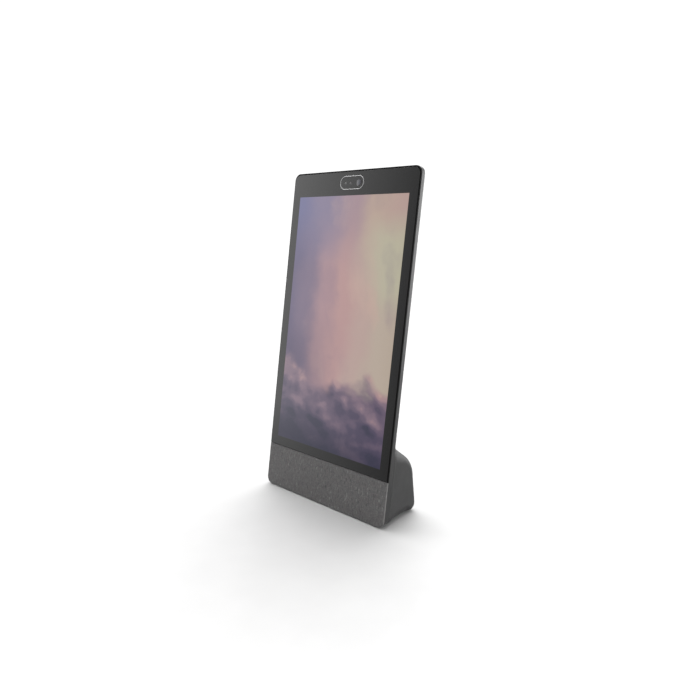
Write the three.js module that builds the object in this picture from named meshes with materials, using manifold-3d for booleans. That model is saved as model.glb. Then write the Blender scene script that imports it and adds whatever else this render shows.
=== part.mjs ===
// Portrait desk video phone: a leaning slab with a touch display, a camera window above
// the picture, a cloth-covered speaker chin, and a wedge foot behind it that holds the
// speakers, the ballast and the connector bay.
// Units are millimetres, +Z up, +Y towards the back, +X to the viewer's right.
// The origin is on the table, under the middle of the whole device.
import * as THREE from "three";
import { mergeVertices } from "three/addons/utils/BufferGeometryUtils.js";
import Module from "manifold-3d";

const wasm = await Module();
wasm.setup();

// ---------- driving dimensions ----------
const TILT = (8.4 * Math.PI) / 180; // lean of the slab from upright
const Y0 = 39.18; // from the front bottom edge back to the origin
const LIFT = 0.9; // height of the slab's front bottom edge above the table
const HALF_W = 111.4; // half the slab's width
const SLAB_H = 451; // length of the slab along its face
const SLAB_T = 10; // slab thickness, glass to back
const CORNER_R = 10; // slab corner radius
const WALL = 1.8; // rear cover wall
const GAP = 0.3; // clearance between neighbouring pieces
const CHIN_TOP = 60; // where cloth ends and glass begins
const GLASS_T = 1.1;
const PARTING = 1.8; // depth of the joint between the front parts and the rear cover
const FRAME_BACK = 3.0; // depth of the front frame's back face
const LCD_X = 102,
  LCD_S0 = 66,
  LCD_S1 = 424,
  LCD_D1 = 4.2; // display module
const CAM_S = 434.2,
  CAM_W = 42.2,
  CAM_H = 18.2; // camera window, on the slab's centre line
const LENS_X = 12,
  SENSOR_X = -2.6,
  LIGHT_X = -11.2;
const FOOT_BACK = 79.6; // foot's rear wall, at the table
const FOOT_LEAN = 0.113; // rear wall leans forward by this much per mm of height
const SLOPE_Y = 42.5,
  SLOPE_Z = 92.7,
  SLOPE_K = 0.874; // a point on the foot's sloping top, and its fall per mm
const SIDE_TAPER = 0.103; // foot sides close in by this much per mm of depth
const FOOT_WALL = 2.4;
const BAY_X = 44.5,
  BAY_Z0 = 13,
  BAY_Z1 = 51.5; // opening of the connector bay
const TRAY_Y = 50; // front wall of the bay
const PORT_Z = 27; // height of the connectors
const KEY_S = [352, 318, 298]; // power, volume up, volume down, along the slab
const KEY_L = [12, 14, 14];
const KEY_TRAVEL = 0.8;

// ---------- helpers ----------
function solid(g) {
  let h = g.index ? g.toNonIndexed() : g.clone();
  const p = new THREE.BufferGeometry().setAttribute(
    "position",
    h.getAttribute("position"),
  );
  const m = mergeVertices(p, 1e-3);
  const tri = [];
  for (let i = 0; i < m.index.count; i += 3) {
    const [a, b, c] = m.index.array.slice(i, i + 3);
    if (a !== b && b !== c && a !== c) tri.push(a, b, c); // a corner drawn twice leaves a sliver
  }
  const make = (triangles) =>
    new wasm.Manifold(
      new wasm.Mesh({
        numProp: 3,
        vertProperties: new Float32Array(m.attributes.position.array),
        triVerts: new Uint32Array(triangles),
      }),
    );
  const s = make(tri);
  return s.volume() > 0 ? s : make(tri.reverse()); // faces turned to point outwards
}
function geometry(s) {
  const m = s.getMesh();
  const v = new Float32Array(m.numVert * 3);
  for (let i = 0; i < m.numVert; i++)
    v.set(m.vertProperties.subarray(i * m.numProp, i * m.numProp + 3), i * 3);
  const g = new THREE.BufferGeometry();
  g.setAttribute("position", new THREE.BufferAttribute(v, 3));
  g.setIndex(new THREE.BufferAttribute(new Uint32Array(m.triVerts), 1));
  const flat = g.toNonIndexed();
  flat.computeVertexNormals();
  return flat;
}
const cut = (a, ...bs) =>
  bs.reduce((s, b) => s.subtract(b instanceof THREE.BufferGeometry ? solid(b) : b), a instanceof THREE.BufferGeometry ? solid(a) : a);
const join = (a, ...bs) =>
  bs.reduce((s, b) => s.add(b instanceof THREE.BufferGeometry ? solid(b) : b), a instanceof THREE.BufferGeometry ? solid(a) : a);

// Rounded rectangle with its own radius at each corner: bottom left, bottom right, top right, top left.
function plate(x0, y0, x1, y1, r = 0) {
  const [a, b, c, d] = Array.isArray(r) ? r : [r, r, r, r];
  const s = new THREE.Shape();
  s.moveTo(x0 + a, y0);
  s.lineTo(x1 - b, y0);
  if (b) s.absarc(x1 - b, y0 + b, b, -Math.PI / 2, 0, false);
  s.lineTo(x1, y1 - c);
  if (c) s.absarc(x1 - c, y1 - c, c, 0, Math.PI / 2, false);
  s.lineTo(x0 + d, y1);
  if (d) s.absarc(x0 + d, y1 - d, d, Math.PI / 2, Math.PI, false);
  s.lineTo(x0, y0 + a);
  if (a) s.absarc(x0 + a, y0 + a, a, Math.PI, 1.5 * Math.PI, false);
  return s;
}
const stadium = (cx, cy, w, h) =>
  plate(cx - w / 2, cy - h / 2, cx + w / 2, cy + h / 2, Math.min(w, h) / 2 - 0.01);
const disc = (cx, cy, r, segments = 7) => {
  const s = new THREE.Shape();
  s.absarc(cx, cy, r, 0, 2 * Math.PI, false);
  s.userData = { segments };
  return s;
};
// Each quarter arc of a plate, and each whole disc, gets twice this many sides.
const extrude = (shape, depth, segments = 2) =>
  new THREE.ExtrudeGeometry(shape, {
    depth,
    bevelEnabled: false,
    curveSegments: shape.userData?.segments ?? segments,
  });
// A shape drawn as seen from the front (x, height), filling depths d0 to d1.
const facing = (shape, d0, d1, segments = 2) =>
  extrude(shape, d1 - d0, segments).rotateX(Math.PI / 2).translate(0, d1, 0);
// A shape drawn in plan (x, y), filling heights z0 to z1.
const lying = (shape, z0, z1, segments = 2) => extrude(shape, z1 - z0, segments).translate(0, 0, z0);
// A shape drawn from the side (y, z), filling x0 to x1.
const CYCLE = new THREE.Matrix4().set(0, 0, 1, 0, 1, 0, 0, 0, 0, 1, 0, 0, 0, 0, 0, 1);
const sideways = (shape, x0, x1, segments = 2) =>
  extrude(shape, x1 - x0, segments).applyMatrix4(CYCLE).translate(x0, 0, 0);
const block = (x0, y0, z0, x1, y1, z1) =>
  new THREE.BoxGeometry(x1 - x0, y1 - y0, z1 - z0).translate((x0 + x1) / 2, (y0 + y1) / 2, (z0 + z1) / 2);
// A turned piece about the depth axis; profile is [radius, depth] pairs that start and end on the axis.
const turned = (profile, x, s, segments = 18) =>
  new THREE.LatheGeometry(profile.map(([r, d]) => new THREE.Vector2(r, d)), segments).translate(x, 0, s);

// ---------- groups ----------
const device = new THREE.Group();
const slab = new THREE.Group(); // local axes: x, depth from the glass, distance up the face
slab.rotation.x = -TILT;
slab.position.set(0, -Y0, LIFT);
slab.updateMatrix();
const foot = new THREE.Group(); // upright axes, y measured from the front bottom edge
foot.position.set(0, -Y0, 0);
device.add(slab, foot);

// The slab's lower end as seen level from the front: a flat underside and two round corners,
// which carry on into the foot's own corners. Given in the slab's axes.
const lowerEnd = (inset = 0, floor = inset) =>
  facing(
    plate(-HALF_W + inset, LIFT + floor, HALF_W - inset, 700, [CORNER_R - inset, CORNER_R - inset, 0, 0]),
    -200,
    300,
    3,
  ).applyMatrix4(
    new THREE.Matrix4().makeRotationX(TILT).multiply(new THREE.Matrix4().makeTranslation(0, 0, -LIFT)),
  );

function add(group, name, s, color, roughness, metalness = 0) {
  const g = s instanceof THREE.BufferGeometry ? geometry(solid(s)) : geometry(s);
  const mesh = new THREE.Mesh(g, new THREE.MeshStandardMaterial({ color, roughness, metalness }));
  mesh.name = name;
  group.add(mesh);
  return mesh;
}
const GREY = 0x4c4c4d,
  BLACK = 0x161617,
  PCB = 0x1d4a33,
  STEEL = 0x9a9da1,
  RUBBER = 0x1a1a1a;

// ---------- slab: glass, frame and display ----------
const outline = (inset = 0) =>
  plate(-HALF_W + inset, -9, HALF_W - inset, SLAB_H - inset, [0, 0, CORNER_R - inset, CORNER_R - inset]);
const glassEdge = (grow = 0) =>
  plate(-109.9 - grow, CHIN_TOP + 0.6 - grow, 109.9 + grow, 449.0 + grow, [1, 1, 8.8 + grow, 8.8 + grow]);
add(
  slab,
  "cover_glass",
  cut(facing(glassEdge(), 0, GLASS_T, 3), facing(stadium(0, CAM_S, CAM_W + 0.7, CAM_H + 0.7), -1, 3, 4)),
  0x0c0c0d,
  0.08,
);
add(
  slab,
  "front_frame",
  cut(
    join(
      facing(plate(-111.1, CHIN_TOP + 0.2, 111.1, 450.7, [0.6, 0.6, 9.7, 9.7]), 0.3, PARTING, 3),
      facing(plate(-109.2, CHIN_TOP + 0.2, 109.2, 448.8, [0.6, 0.6, 7.8, 7.8]), PARTING - 0.1, FRAME_BACK, 3),
    ),
    facing(glassEdge(GAP), -1, GLASS_T + GAP, 3),
    facing(plate(-LCD_X - 0.4, LCD_S0 - 0.4, LCD_X + 0.4, LCD_S1 + 0.4, 1), -1, 8),
    facing(stadium(0, CAM_S, CAM_W - 3, CAM_H - 3), -1, 8),
  ),
  BLACK,
  0.35,
);
add(slab, "lcd_panel", facing(plate(-LCD_X, LCD_S0, LCD_X, LCD_S1, 1), GLASS_T + GAP, LCD_D1), 0x202226, 0.3);
add(
  slab,
  "heat_spreader",
  cut(
    facing(plate(-98, 78, 98, 418, 3), LCD_D1 + 0.3, 5.2),
    facing(plate(-60, 308, 60, 330, 4), 4, 6),
    facing(disc(-80, 100, 8), 4, 6),
    facing(disc(80, 100, 8), 4, 6),
  ),
  0xb9bcc0,
  0.4,
  0.9,
);
add(slab, "main_board", join(
  facing(plate(-72, 158, 72, 286, 2), 5.6, 6.6),
  facing(plate(-60, 250, -20, 274, 0), 6.5, 7.5),
  facing(plate(-62, 170, -42, 196, 0), 6.5, 7.3),
  facing(plate(34, 166, 62, 182, 0), 6.5, 7.7),
  facing(plate(-8, 152, 8, 158.5, 0), 5.6, 7.7),
), PCB, 0.6);
add(slab, "processor_shield", facing(plate(-12, 196, 44, 244, 1.5), 6.8, 7.8, 1), STEEL, 0.35, 0.9);

// ---------- slab: rear cover ----------
const vents = [];
for (let i = -7; i <= 7; i++) vents.push(facing(stadium(i * 10, 404, 3, 18), 7.6, 14, 1));
let cover = cut(
  solid(facing(outline(), PARTING + 0.15, SLAB_T, 3)).intersect(solid(lowerEnd())),
  solid(facing(outline(WALL), 0, SLAB_T - WALL, 3)).intersect(solid(lowerEnd(WALL))),
  facing(plate(-82, 12.5, 82, 56, 4), 5, 14), // window that the speaker box passes
  facing(disc(0, 88, 8), 5, 14), // harness hole
  ...vents,
  ...[-46, 46].map((x) => new THREE.CylinderGeometry(0.7, 0.7, 8, 6).rotateX(Math.PI / 2).translate(x, 5.6, 449)), // microphone holes
);
for (const [i, s] of KEY_S.entries())
  cover = cut(cover, block(-114, 4.3, s - KEY_L[i] / 2 - 0.3, -108, 8.1, s + KEY_L[i] / 2 + 0.3));
for (const [x, s] of [[-88, 76], [88, 76], [-52, 76], [52, 76]])
  cover = cut(cover, turned([[0, 7], [1.6, 7], [1.6, 14], [0, 14]], x, s, 8));
add(slab, "rear_cover", cover, GREY, 0.55);

// ---------- slab: keys on the left edge ----------
for (const [i, name] of ["power_button", "volume_up_button", "volume_down_button"].entries()) {
  const s = KEY_S[i],
    h = KEY_L[i] / 2;
  add(
    slab,
    name,
    join(
      block(-HALF_W + 0.05, 4.6, s - h, -109, 7.8, s + h),
      block(-109.1, 3.9, s - h - 1.2, -108.3, 8.0, s + h + 1.2),
      block(-108.4, 5.4, s - 1.5, -107.6, 7.0, s + 1.5),
    ),
    GREY,
    0.5,
  );
}
add(
  slab,
  "key_board",
  join(
    block(-105.9, 3.6, 284, -104.9, 8.0, 364),
    ...KEY_S.map((s) => block(-106.5, 4.6, s - 2.4, -105.8, 7.6, s + 2.4)),
  ),
  PCB,
  0.6,
);

// ---------- slab: camera window and what is behind it ----------
add(
  slab,
  "camera_ring",
  cut(
    facing(stadium(0, CAM_S, CAM_W, CAM_H), -0.25, GLASS_T, 4),
    facing(stadium(0, CAM_S, CAM_W - 2.4, CAM_H - 2.4), -1, 3, 4),
  ),
  0xb4b6b8,
  0.3,
  0.9,
);
add(
  slab,
  "camera_window",
  cut(
    facing(stadium(0, CAM_S, CAM_W - 3, CAM_H - 3), 0.15, GLASS_T, 4),
    facing(disc(LENS_X, CAM_S, 4.3, 8), -1, 3),
    facing(disc(SENSOR_X, CAM_S, 1.8, 5), -1, 3),
    facing(disc(LIGHT_X, CAM_S, 1.5, 5), -1, 3),
  ),
  0x111112,
  0.1,
);
add(slab, "camera_lens", turned([[0, 0.25], [2.2, 0.45], [4, 0.95], [4, 1.5], [0, 1.5]], LENS_X, CAM_S, 16), 0x0a0f18, 0.05);
add(slab, "presence_sensor", turned([[0, 0.3], [1.5, 0.3], [1.5, 6.0], [0, 6.0]], SENSOR_X, CAM_S, 10), 0x2a1014, 0.1);
add(slab, "status_light_pipe", turned([[0, 0.3], [1.2, 0.3], [1.2, 6.0], [0, 6.0]], LIGHT_X, CAM_S, 10), 0xd8d8d4, 0.3);
add(
  slab,
  "camera_barrel",
  cut(
    turned([[0, 1.7], [4.6, 1.7], [4.6, 4.4], [0, 4.4]], LENS_X, CAM_S, 16),
    turned([[0, 1], [3.2, 1], [2.2, 3.6], [0, 3.6]], LENS_X, CAM_S, 16),
  ),
  BLACK,
  0.4,
);
add(slab, "camera_module", facing(plate(LENS_X - 5, CAM_S - 5, LENS_X + 5, CAM_S + 5, 0.6), 4.6, 6.0), 0x2a2a2c, 0.4);
add(slab, "camera_board", facing(plate(-19, CAM_S - 6.5, 22, CAM_S + 6.5, 1), 6.3, 7.1), PCB, 0.6);
for (const side of [-1, 1]) {
  const n = side < 0 ? "left" : "right";
  add(
    slab,
    "microphone_board_" + n,
    join(
      facing(plate(side * 46 - 14, 440, side * 46 + 14, 446.6, 0), 5.0, 5.8),
      facing(plate(side * 46 - 1.8, 442, side * 46 + 1.8, 445, 0), 4.2, 5.1),
    ),
    PCB,
    0.6,
  );
  add(slab, "wifi_antenna_" + n, facing(plate(side * 104 - 4, 380, side * 104 + 4, 420, 1), 6.9, 7.5, 1), 0xb07a3a, 0.5);
}

add(slab, "camera_flat_cable", facing(plate(-4, 286.6, 4, 427, 0), 5.7, 6.0), 0xc9c9c5, 0.6);
add(
  slab,
  "key_flat_cable",
  join(facing(plate(-104.5, 262, -100, 304, 0), 5.7, 6.0), facing(plate(-104.5, 262, -72.4, 268, 0), 5.7, 6.0)),
  0xc9c9c5,
  0.6,
);

// ---------- slab: cloth-covered chin ----------
const grilleSlots = [];
for (let row = 0; row < 3; row++)
  for (let i = -4; i <= 4; i++)
    grilleSlots.push(facing(plate(i * 22 - 9.5, 12 + row * 15, i * 22 + 9.5, 24 + row * 15, 0), 0, 5));
add(
  slab,
  "grille_carrier",
  cut(
    solid(facing(plate(-110.6, -9, 110.6, CHIN_TOP - 0.9, [0, 0, 0.5, 0.5]), 1.0, PARTING))
      .intersect(solid(lowerEnd(0.8)))
      .add(
        solid(facing(plate(-109.2, -9, 109.2, CHIN_TOP - 0.9, [0, 0, 0.5, 0.5]), PARTING - 0.1, FRAME_BACK)).intersect(
          solid(lowerEnd(2.2)),
        ),
      ),
    ...grilleSlots,
  ),
  BLACK,
  0.6,
);
add(
  slab,
  "grille_fabric",
  cut(
    solid(facing(plate(-HALF_W, -9, HALF_W, CHIN_TOP - 0.1, [0, 0, 0.6, 0.6]), 0.1, PARTING)).intersect(solid(lowerEnd())),
    solid(facing(plate(-110.9, -9, 110.9, CHIN_TOP - 0.6, [0, 0, 0.6, 0.6]), 0.9, 6)).intersect(solid(lowerEnd(0.5))),
  ),
  0x5d5d5e,
  0.95,
);

// ---------- speakers, leaning with the slab ----------
const DRIVER_X = 50,
  DRIVER_S = 34;
add(
  slab,
  "speaker_box",
  cut(
    facing(plate(-78, 14, 78, 54, 3), 5, 26),
    facing(plate(-76, 16, 76, 52, 2), 7, 24, 1),
    ...[-1, 1].map((k) => facing(disc(k * DRIVER_X, DRIVER_S, 17.3, 9), 0, 12)),
  ),
  0x222223,
  0.6,
);
for (const side of [-1, 1]) {
  const n = side < 0 ? "left" : "right",
    x = side * DRIVER_X;
  add(
    slab,
    "speaker_" + n + "_basket",
    cut(
      turned([[0, 3.9], [19.6, 3.9], [19.6, 4.7], [16.8, 4.7], [12, 15], [0, 15]], x, DRIVER_S),
      turned([[0, 3], [17, 3], [17, 4.3], [15.8, 4.9], [11, 14], [0, 14]], x, DRIVER_S),
      turned([[0, 12], [8.4, 12], [8.4, 17], [0, 17]], x, DRIVER_S),
    ),
    0x55575a,
    0.5,
    0.6,
  );
  add(
    slab,
    "speaker_" + n + "_cone",
    cut(
      turned([[0, 4.1], [16.6, 4.1], [16.6, 4.5], [15, 5.2], [7.6, 11.2], [7.6, 12.6], [0, 12.6]], x, DRIVER_S),
      turned([[0, 3], [15.4, 3], [15.4, 4.3], [14.4, 4.6], [6.4, 10.6], [0, 8.8]], x, DRIVER_S),
    ),
    0x2b2b2d,
    0.8,
  );
  add(slab, "speaker_" + n + "_magnet", turned([[0, 15.4], [13, 15.4], [13, 22.5], [0, 22.5]], x, DRIVER_S), 0x3a3a3d, 0.35, 0.7);
}

// ---------- foot housing ----------
// Side view outline (y, z) with rounded corners. It runs forward into the slab and is cut off there.
const backY = (z) => FOOT_BACK - FOOT_LEAN * z;
const slopeZ = (y) => SLOPE_Z - SLOPE_K * (y - SLOPE_Y);
const kneeY = (FOOT_BACK - FOOT_LEAN * (SLOPE_Z + SLOPE_K * SLOPE_Y)) / (1 - FOOT_LEAN * SLOPE_K);
// each corner: [y, z, corner radius, side fillet radius there]
const corners = [
  [-60, LIFT, 18, 10],
  [backY(LIFT), LIFT, 9.9, 6.6],
  [kneeY, slopeZ(kneeY), 42.7, 9.1],
  [-60, slopeZ(-60), 20, 17.5],
];
// The side fillet's radius along the straight run that starts at a corner, from the distance run.
const ease = (t) => (t <= 0 ? 0 : t >= 1 ? 1 : t * t * (3 - 2 * t));
const runFillet = (i, run, whole) => {
  const from = corners[i][3],
    to = corners[(i + 1) % corners.length][3];
  // along the bottom it grows to 14 behind the slab, and tightens again before the rear corner
  if (i === 0) return from + (14 - from) * ease((run - 54) / 20) + (to - 14) * ease((run - whole + 14) / 14);
  return from + (to - from) * ease(i === 2 ? run / 28 : run / whole);
};
function profile(inset, arc = 5, line = 4) {
  const pts = [];
  const n = corners.length;
  const dir = corners.map((c, i) => {
    const d = corners[(i + 1) % n];
    const v = new THREE.Vector2(d[0] - c[0], d[1] - c[1]);
    return v.normalize();
  });
  for (let i = 0; i < n; i++) {
    const c = corners[i],
      before = dir[(i + n - 1) % n],
      after = dir[i];
    const turn = Math.acos(before.dot(after));
    const back = c[2] * Math.tan(turn / 2);
    const start = new THREE.Vector2(c[0], c[1]).addScaledVector(before, -back);
    const centre = start.clone().add(new THREE.Vector2(-before.y, before.x).multiplyScalar(c[2]));
    for (let k = 0; k <= arc; k++) {
      const a = (turn * k) / arc;
      const nrm = new THREE.Vector2(before.y, -before.x).rotateAround(new THREE.Vector2(), a);
      pts.push({ p: centre.clone().addScaledVector(nrm, c[2]), n: nrm, r: c[3] });
    }
    // points along the stretch to the next corner
    const d = corners[(i + 1) % n];
    const turnNext = Math.acos(after.dot(dir[(i + 1) % n]));
    const end = new THREE.Vector2(d[0], d[1]).addScaledVector(after, -d[2] * Math.tan(turnNext / 2));
    const from = pts[pts.length - 1].p.clone();
    const nrm = new THREE.Vector2(after.y, -after.x);
    const whole = from.distanceTo(end);
    // steps every few mm, so that a change of radius is smooth; none where the slab hides the run
    const steps = i === 3 ? 1 : i === 1 ? line : Math.round(whole / 12);
    for (let k = 1; k < steps; k++) {
      const t = k / steps;
      pts.push({ p: from.clone().lerp(end, t), n: nrm.clone(), r: runFillet(i, t * whole, whole) });
    }
  }
  return pts.map((q) => ({
    p: q.p.clone().addScaledVector(q.n, -inset),
    n: q.n,
    r: Math.max(q.r - inset, 0.8),
  }));
}
const depthOf = (y, z) => y * Math.cos(TILT) - (z - LIFT) * Math.sin(TILT);
const halfAt = (y, z) => HALF_W - SIDE_TAPER * (depthOf(y, z) - SLAB_T);
function footBlock(inset, arc = 5, line = 4, around = 4) {
  const prof = profile(inset, arc, line),
    n = prof.length;
  const rings = [];
  for (let k = 0; k <= around; k++) {
    const a = (k / around) * (Math.PI / 2);
    rings.push(
      prof.map(({ p, n: nn, r }) => {
        const q = p.clone().addScaledVector(nn, -r * (1 - Math.sin(a)));
        return [halfAt(q.x, q.y) - inset - r * (1 - Math.cos(a)), q.x, q.y];
      }),
    );
  }
  const verts = [],
    index = [];
  for (const ring of rings) for (const v of ring) verts.push(...v);
  for (const ring of [...rings].reverse()) for (const [x, y, z] of ring) verts.push(-x, y, z);
  const m = rings.length * 2;
  for (let k = 0; k < m - 1; k++)
    for (let i = 0; i < n; i++) {
      const a = k * n + i,
        b = k * n + ((i + 1) % n),
        c = a + n,
        d = b + n;
      index.push(a, c, b, b, c, d);
    }
  const flat = rings[0].map(([, y, z]) => new THREE.Vector2(y, z));
  for (const [a, b, c] of THREE.ShapeUtils.triangulateShape(flat, [])) {
    index.push(a, b, c);
    const o = (m - 1) * n;
    index.push(o + a, o + c, o + b);
  }
  const g = new THREE.BufferGeometry();
  g.setAttribute("position", new THREE.Float32BufferAttribute(verts, 3));
  g.setIndex(index);
  return g;
}
// everything in front of the slab's back face, in the foot's axes
const slabSpace = block(-150, -200, -300, 150, SLAB_T + GAP, 500)
  .applyMatrix4(new THREE.Matrix4().makeRotationX(-TILT))
  .translate(0, 0, LIFT);
const footOuter = solid(footBlock(0)).subtract(solid(slabSpace));
const footInner = solid(footBlock(FOOT_WALL, 4, 3, 3)).subtract(solid(slabSpace.clone().translate(0, -2, 0)));
const plateEdge = (inset) => {
  // opening in the foot's floor, narrowing towards the back
  const s = new THREE.Shape();
  const half = (y) => HALF_W - 14 - SIDE_TAPER * (y - SLAB_T) - inset;
  s.moveTo(-half(16), 16 + inset);
  s.lineTo(half(16), 16 + inset);
  s.lineTo(half(66), 66 - inset);
  s.lineTo(-half(66), 66 - inset);
  s.closePath();
  return s;
};
const bayCut = (grow) => facing(plate(-BAY_X - grow, BAY_Z0 - grow, BAY_X + grow, BAY_Z1 + grow, 3), 60, 100, 4);
const LOCK_X = 72,
  LOCK_Z = 30;
const housing = footOuter
  .subtract(footInner)
  .subtract(solid(lying(plateEdge(0), -5, 8)))
  .subtract(solid(bayCut(0)))
  .subtract(solid(facing(stadium(LOCK_X, LOCK_Z, 7, 3), 60, 100, 3)));
add(foot, "foot_housing", housing, GREY, 0.55);

// ---------- foot: base plate, pads, ballast, bracket ----------
const PADS = [
  ["foot_pad_front_left", -70, 22],
  ["foot_pad_front_right", 70, 22],
  ["foot_pad_rear_left", -66, 59.6],
  ["foot_pad_rear_right", 66, 59.6],
];
const SCREWS = [
  ["base_screw_front_left", -88, 26],
  ["base_screw_front_right", 88, 26],
  ["base_screw_rear_left", -84, 57],
  ["base_screw_rear_right", 84, 57],
];
const padShape = (x, y, g) => plate(x - 13 - g, y - 3.6 - g, x + 13 + g, y + 3.6 + g, 3.2 + g);
const upright = (profilePts, x, y, segments = 16) =>
  new THREE.LatheGeometry(profilePts.map(([r, z]) => new THREE.Vector2(r, z)), segments)
    .rotateX(Math.PI / 2)
    .translate(x, y, 0);
add(
  foot,
  "base_plate",
  cut(
    lying(plateEdge(0.35), 1.2, 3.2),
    ...PADS.map(([, x, y]) => lying(padShape(x, y, 0.3), 0, 2.1)),
    ...SCREWS.map(([, x, y]) => lying(disc(x, y, 3.3, 6), 0, 2.3)),
    ...SCREWS.map(([, x, y]) => lying(disc(x, y, 1.8, 4), 0, 5)),
  ),
  0x2b2b2c,
  0.6,
);
for (const [name, x, y] of PADS) add(foot, name, lying(padShape(x, y, 0), 0, 1.8), RUBBER, 0.9);
for (const [name, x, y] of SCREWS)
  add(
    foot,
    name,
    cut(
      join(lying(disc(x, y, 2.8, 6), 1.3, 2), lying(disc(x, y, 1.3, 4), 1.9, 8.4)),
      lying(disc(x, y, 1.1, 3), 0.5, 1.75),
    ),
    STEEL,
    0.35,
    0.9,
  );
add(
  foot,
  "ballast_plate",
  cut(
    lying(plate(-92, 22, 92, 63, 3), 3.6, 7.8),
    ...SCREWS.map(([, x, y]) => lying(disc(x, y, 1.7, 4), 0, 12)),
  ),
  0x6d7074,
  0.5,
  0.8,
);
const BRACKET_SCREWS = [
  ["bracket_screw_1", -88, 76],
  ["bracket_screw_2", -52, 76],
  ["bracket_screw_3", 52, 76],
  ["bracket_screw_4", 88, 76],
];
add(
  slab,
  "stand_bracket",
  cut(
    facing(plate(-95, 60, 95, 84, 2), SLAB_T + GAP, 12.3),
    facing(disc(0, 88, 9), 5, 20),
    ...BRACKET_SCREWS.map(([, x, s]) => facing(disc(x, s, 1.6, 4), 5, 20)),
  ),
  0x777a7e,
  0.45,
  0.8,
);
for (const [name, x, s] of BRACKET_SCREWS)
  add(slab, name, turned([[0, 4.9], [1.25, 4.9], [1.25, 12.7], [2.7, 12.7], [2.7, 14.2], [0, 14.2]], x, s, 10), STEEL, 0.35, 0.9);

// ---------- foot: connector bay ----------
const wallBehind = (grow) =>
  // everything behind the inner face of the rear wall, moved by grow
  sideways(
    (() => {
      const s = new THREE.Shape();
      const k = FOOT_WALL + grow;
      s.moveTo(backY(-20) - k, -20);
      s.lineTo(200, -20);
      s.lineTo(200, 140);
      s.lineTo(backY(140) - k, 140);
      s.closePath();
      return s;
    })(),
    -150,
    150,
  );
const PORTS = { ethernet: -24, usb: 2, power: 24 };
add(
  foot,
  "port_tray",
  cut(
    facing(plate(-BAY_X - 3, BAY_Z0 - 2.6, BAY_X + 3, BAY_Z1 + 2.6, 3), TRAY_Y, 100, 3),
    facing(plate(-BAY_X - 1.2, BAY_Z0 - 0.8, BAY_X + 1.2, BAY_Z1 + 0.8, 2), TRAY_Y + 2, 101, 3),
    wallBehind(0.8),
    facing(plate(PORTS.ethernet - 8.4, PORT_Z - 7.2, PORTS.ethernet + 8.4, PORT_Z + 7.2, 0), 40, 60),
    facing(plate(PORTS.usb - 5.1, PORT_Z - 2.3, PORTS.usb + 5.1, PORT_Z + 2.3, 2), 40, 60),
    facing(disc(PORTS.power, PORT_Z, 5.4, 9), 40, 60),
  ),
  0x262627,
  0.6,
);
add(
  foot,
  "ethernet_jack",
  cut(
    facing(plate(PORTS.ethernet - 8, PORT_Z - 6.8, PORTS.ethernet + 8, PORT_Z + 6.8, 0), 40.6, TRAY_Y + 3.5),
    facing(plate(PORTS.ethernet - 5.9, PORT_Z - 4.4, PORTS.ethernet + 5.9, PORT_Z + 3.2, 0), 42.5, 60),
    facing(plate(PORTS.ethernet - 3, PORT_Z - 5.6, PORTS.ethernet + 3, PORT_Z - 4.2, 0), 42.5, 60),
  ),
  0xa9acb0,
  0.35,
  0.8,
);
add(
  foot,
  "usb_c_port",
  join(
    cut(
      facing(plate(PORTS.usb - 4.7, PORT_Z - 1.9, PORTS.usb + 4.7, PORT_Z + 1.9, 1.7), 40.6, TRAY_Y + 2.8),
      facing(plate(PORTS.usb - 4.3, PORT_Z - 1.5, PORTS.usb + 4.3, PORT_Z + 1.5, 1.4), 44, 60),
    ),
    facing(plate(PORTS.usb - 3.3, PORT_Z - 0.35, PORTS.usb + 3.3, PORT_Z + 0.35, 0), 43, TRAY_Y + 1.5),
  ),
  0xa9acb0,
  0.3,
  0.9,
);
add(
  foot,
  "power_inlet",
  join(
    cut(
      turned([[0, 40.6], [5, 40.6], [5, TRAY_Y + 3.2], [0, TRAY_Y + 3.2]], PORTS.power, PORT_Z),
      turned([[0, 43], [3.3, 43], [3.3, 60], [0, 60]], PORTS.power, PORT_Z),
    ),
    turned([[0, 42], [1, 42], [1, TRAY_Y + 2.2], [0, TRAY_Y + 2.2]], PORTS.power, PORT_Z, 12),
  ),
  BLACK,
  0.4,
);
add(
  foot,
  "connector_board",
  join(facing(plate(-40, 13, 40, 52, 1.5), 38.7, 40.2, 1), block(-8, 36, 42, 8, 38.8, 50)),
  PCB,
  0.6,
);

// The snap-on cover over the bay. It carries a notch at the bottom for the cables.
const coverRegion = (grow, z0 = BAY_Z0, z1 = BAY_Z1) =>
  facing(plate(-BAY_X + grow, z0 + grow, BAY_X - grow, z1 - grow, 3 - grow * 0.8), 40, 110, 4);
const behindWall = (k) =>
  sideways(
    (() => {
      const s = new THREE.Shape();
      s.moveTo(backY(-20) - k, -20);
      s.lineTo(200, -20);
      s.lineTo(200, 140);
      s.lineTo(backY(140) - k, 140);
      s.closePath();
      return s;
    })(),
    -160,
    160,
  );
const skin = solid(coverRegion(0.4)).subtract(solid(behindWall(0))).intersect(solid(behindWall(2.2)));
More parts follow.
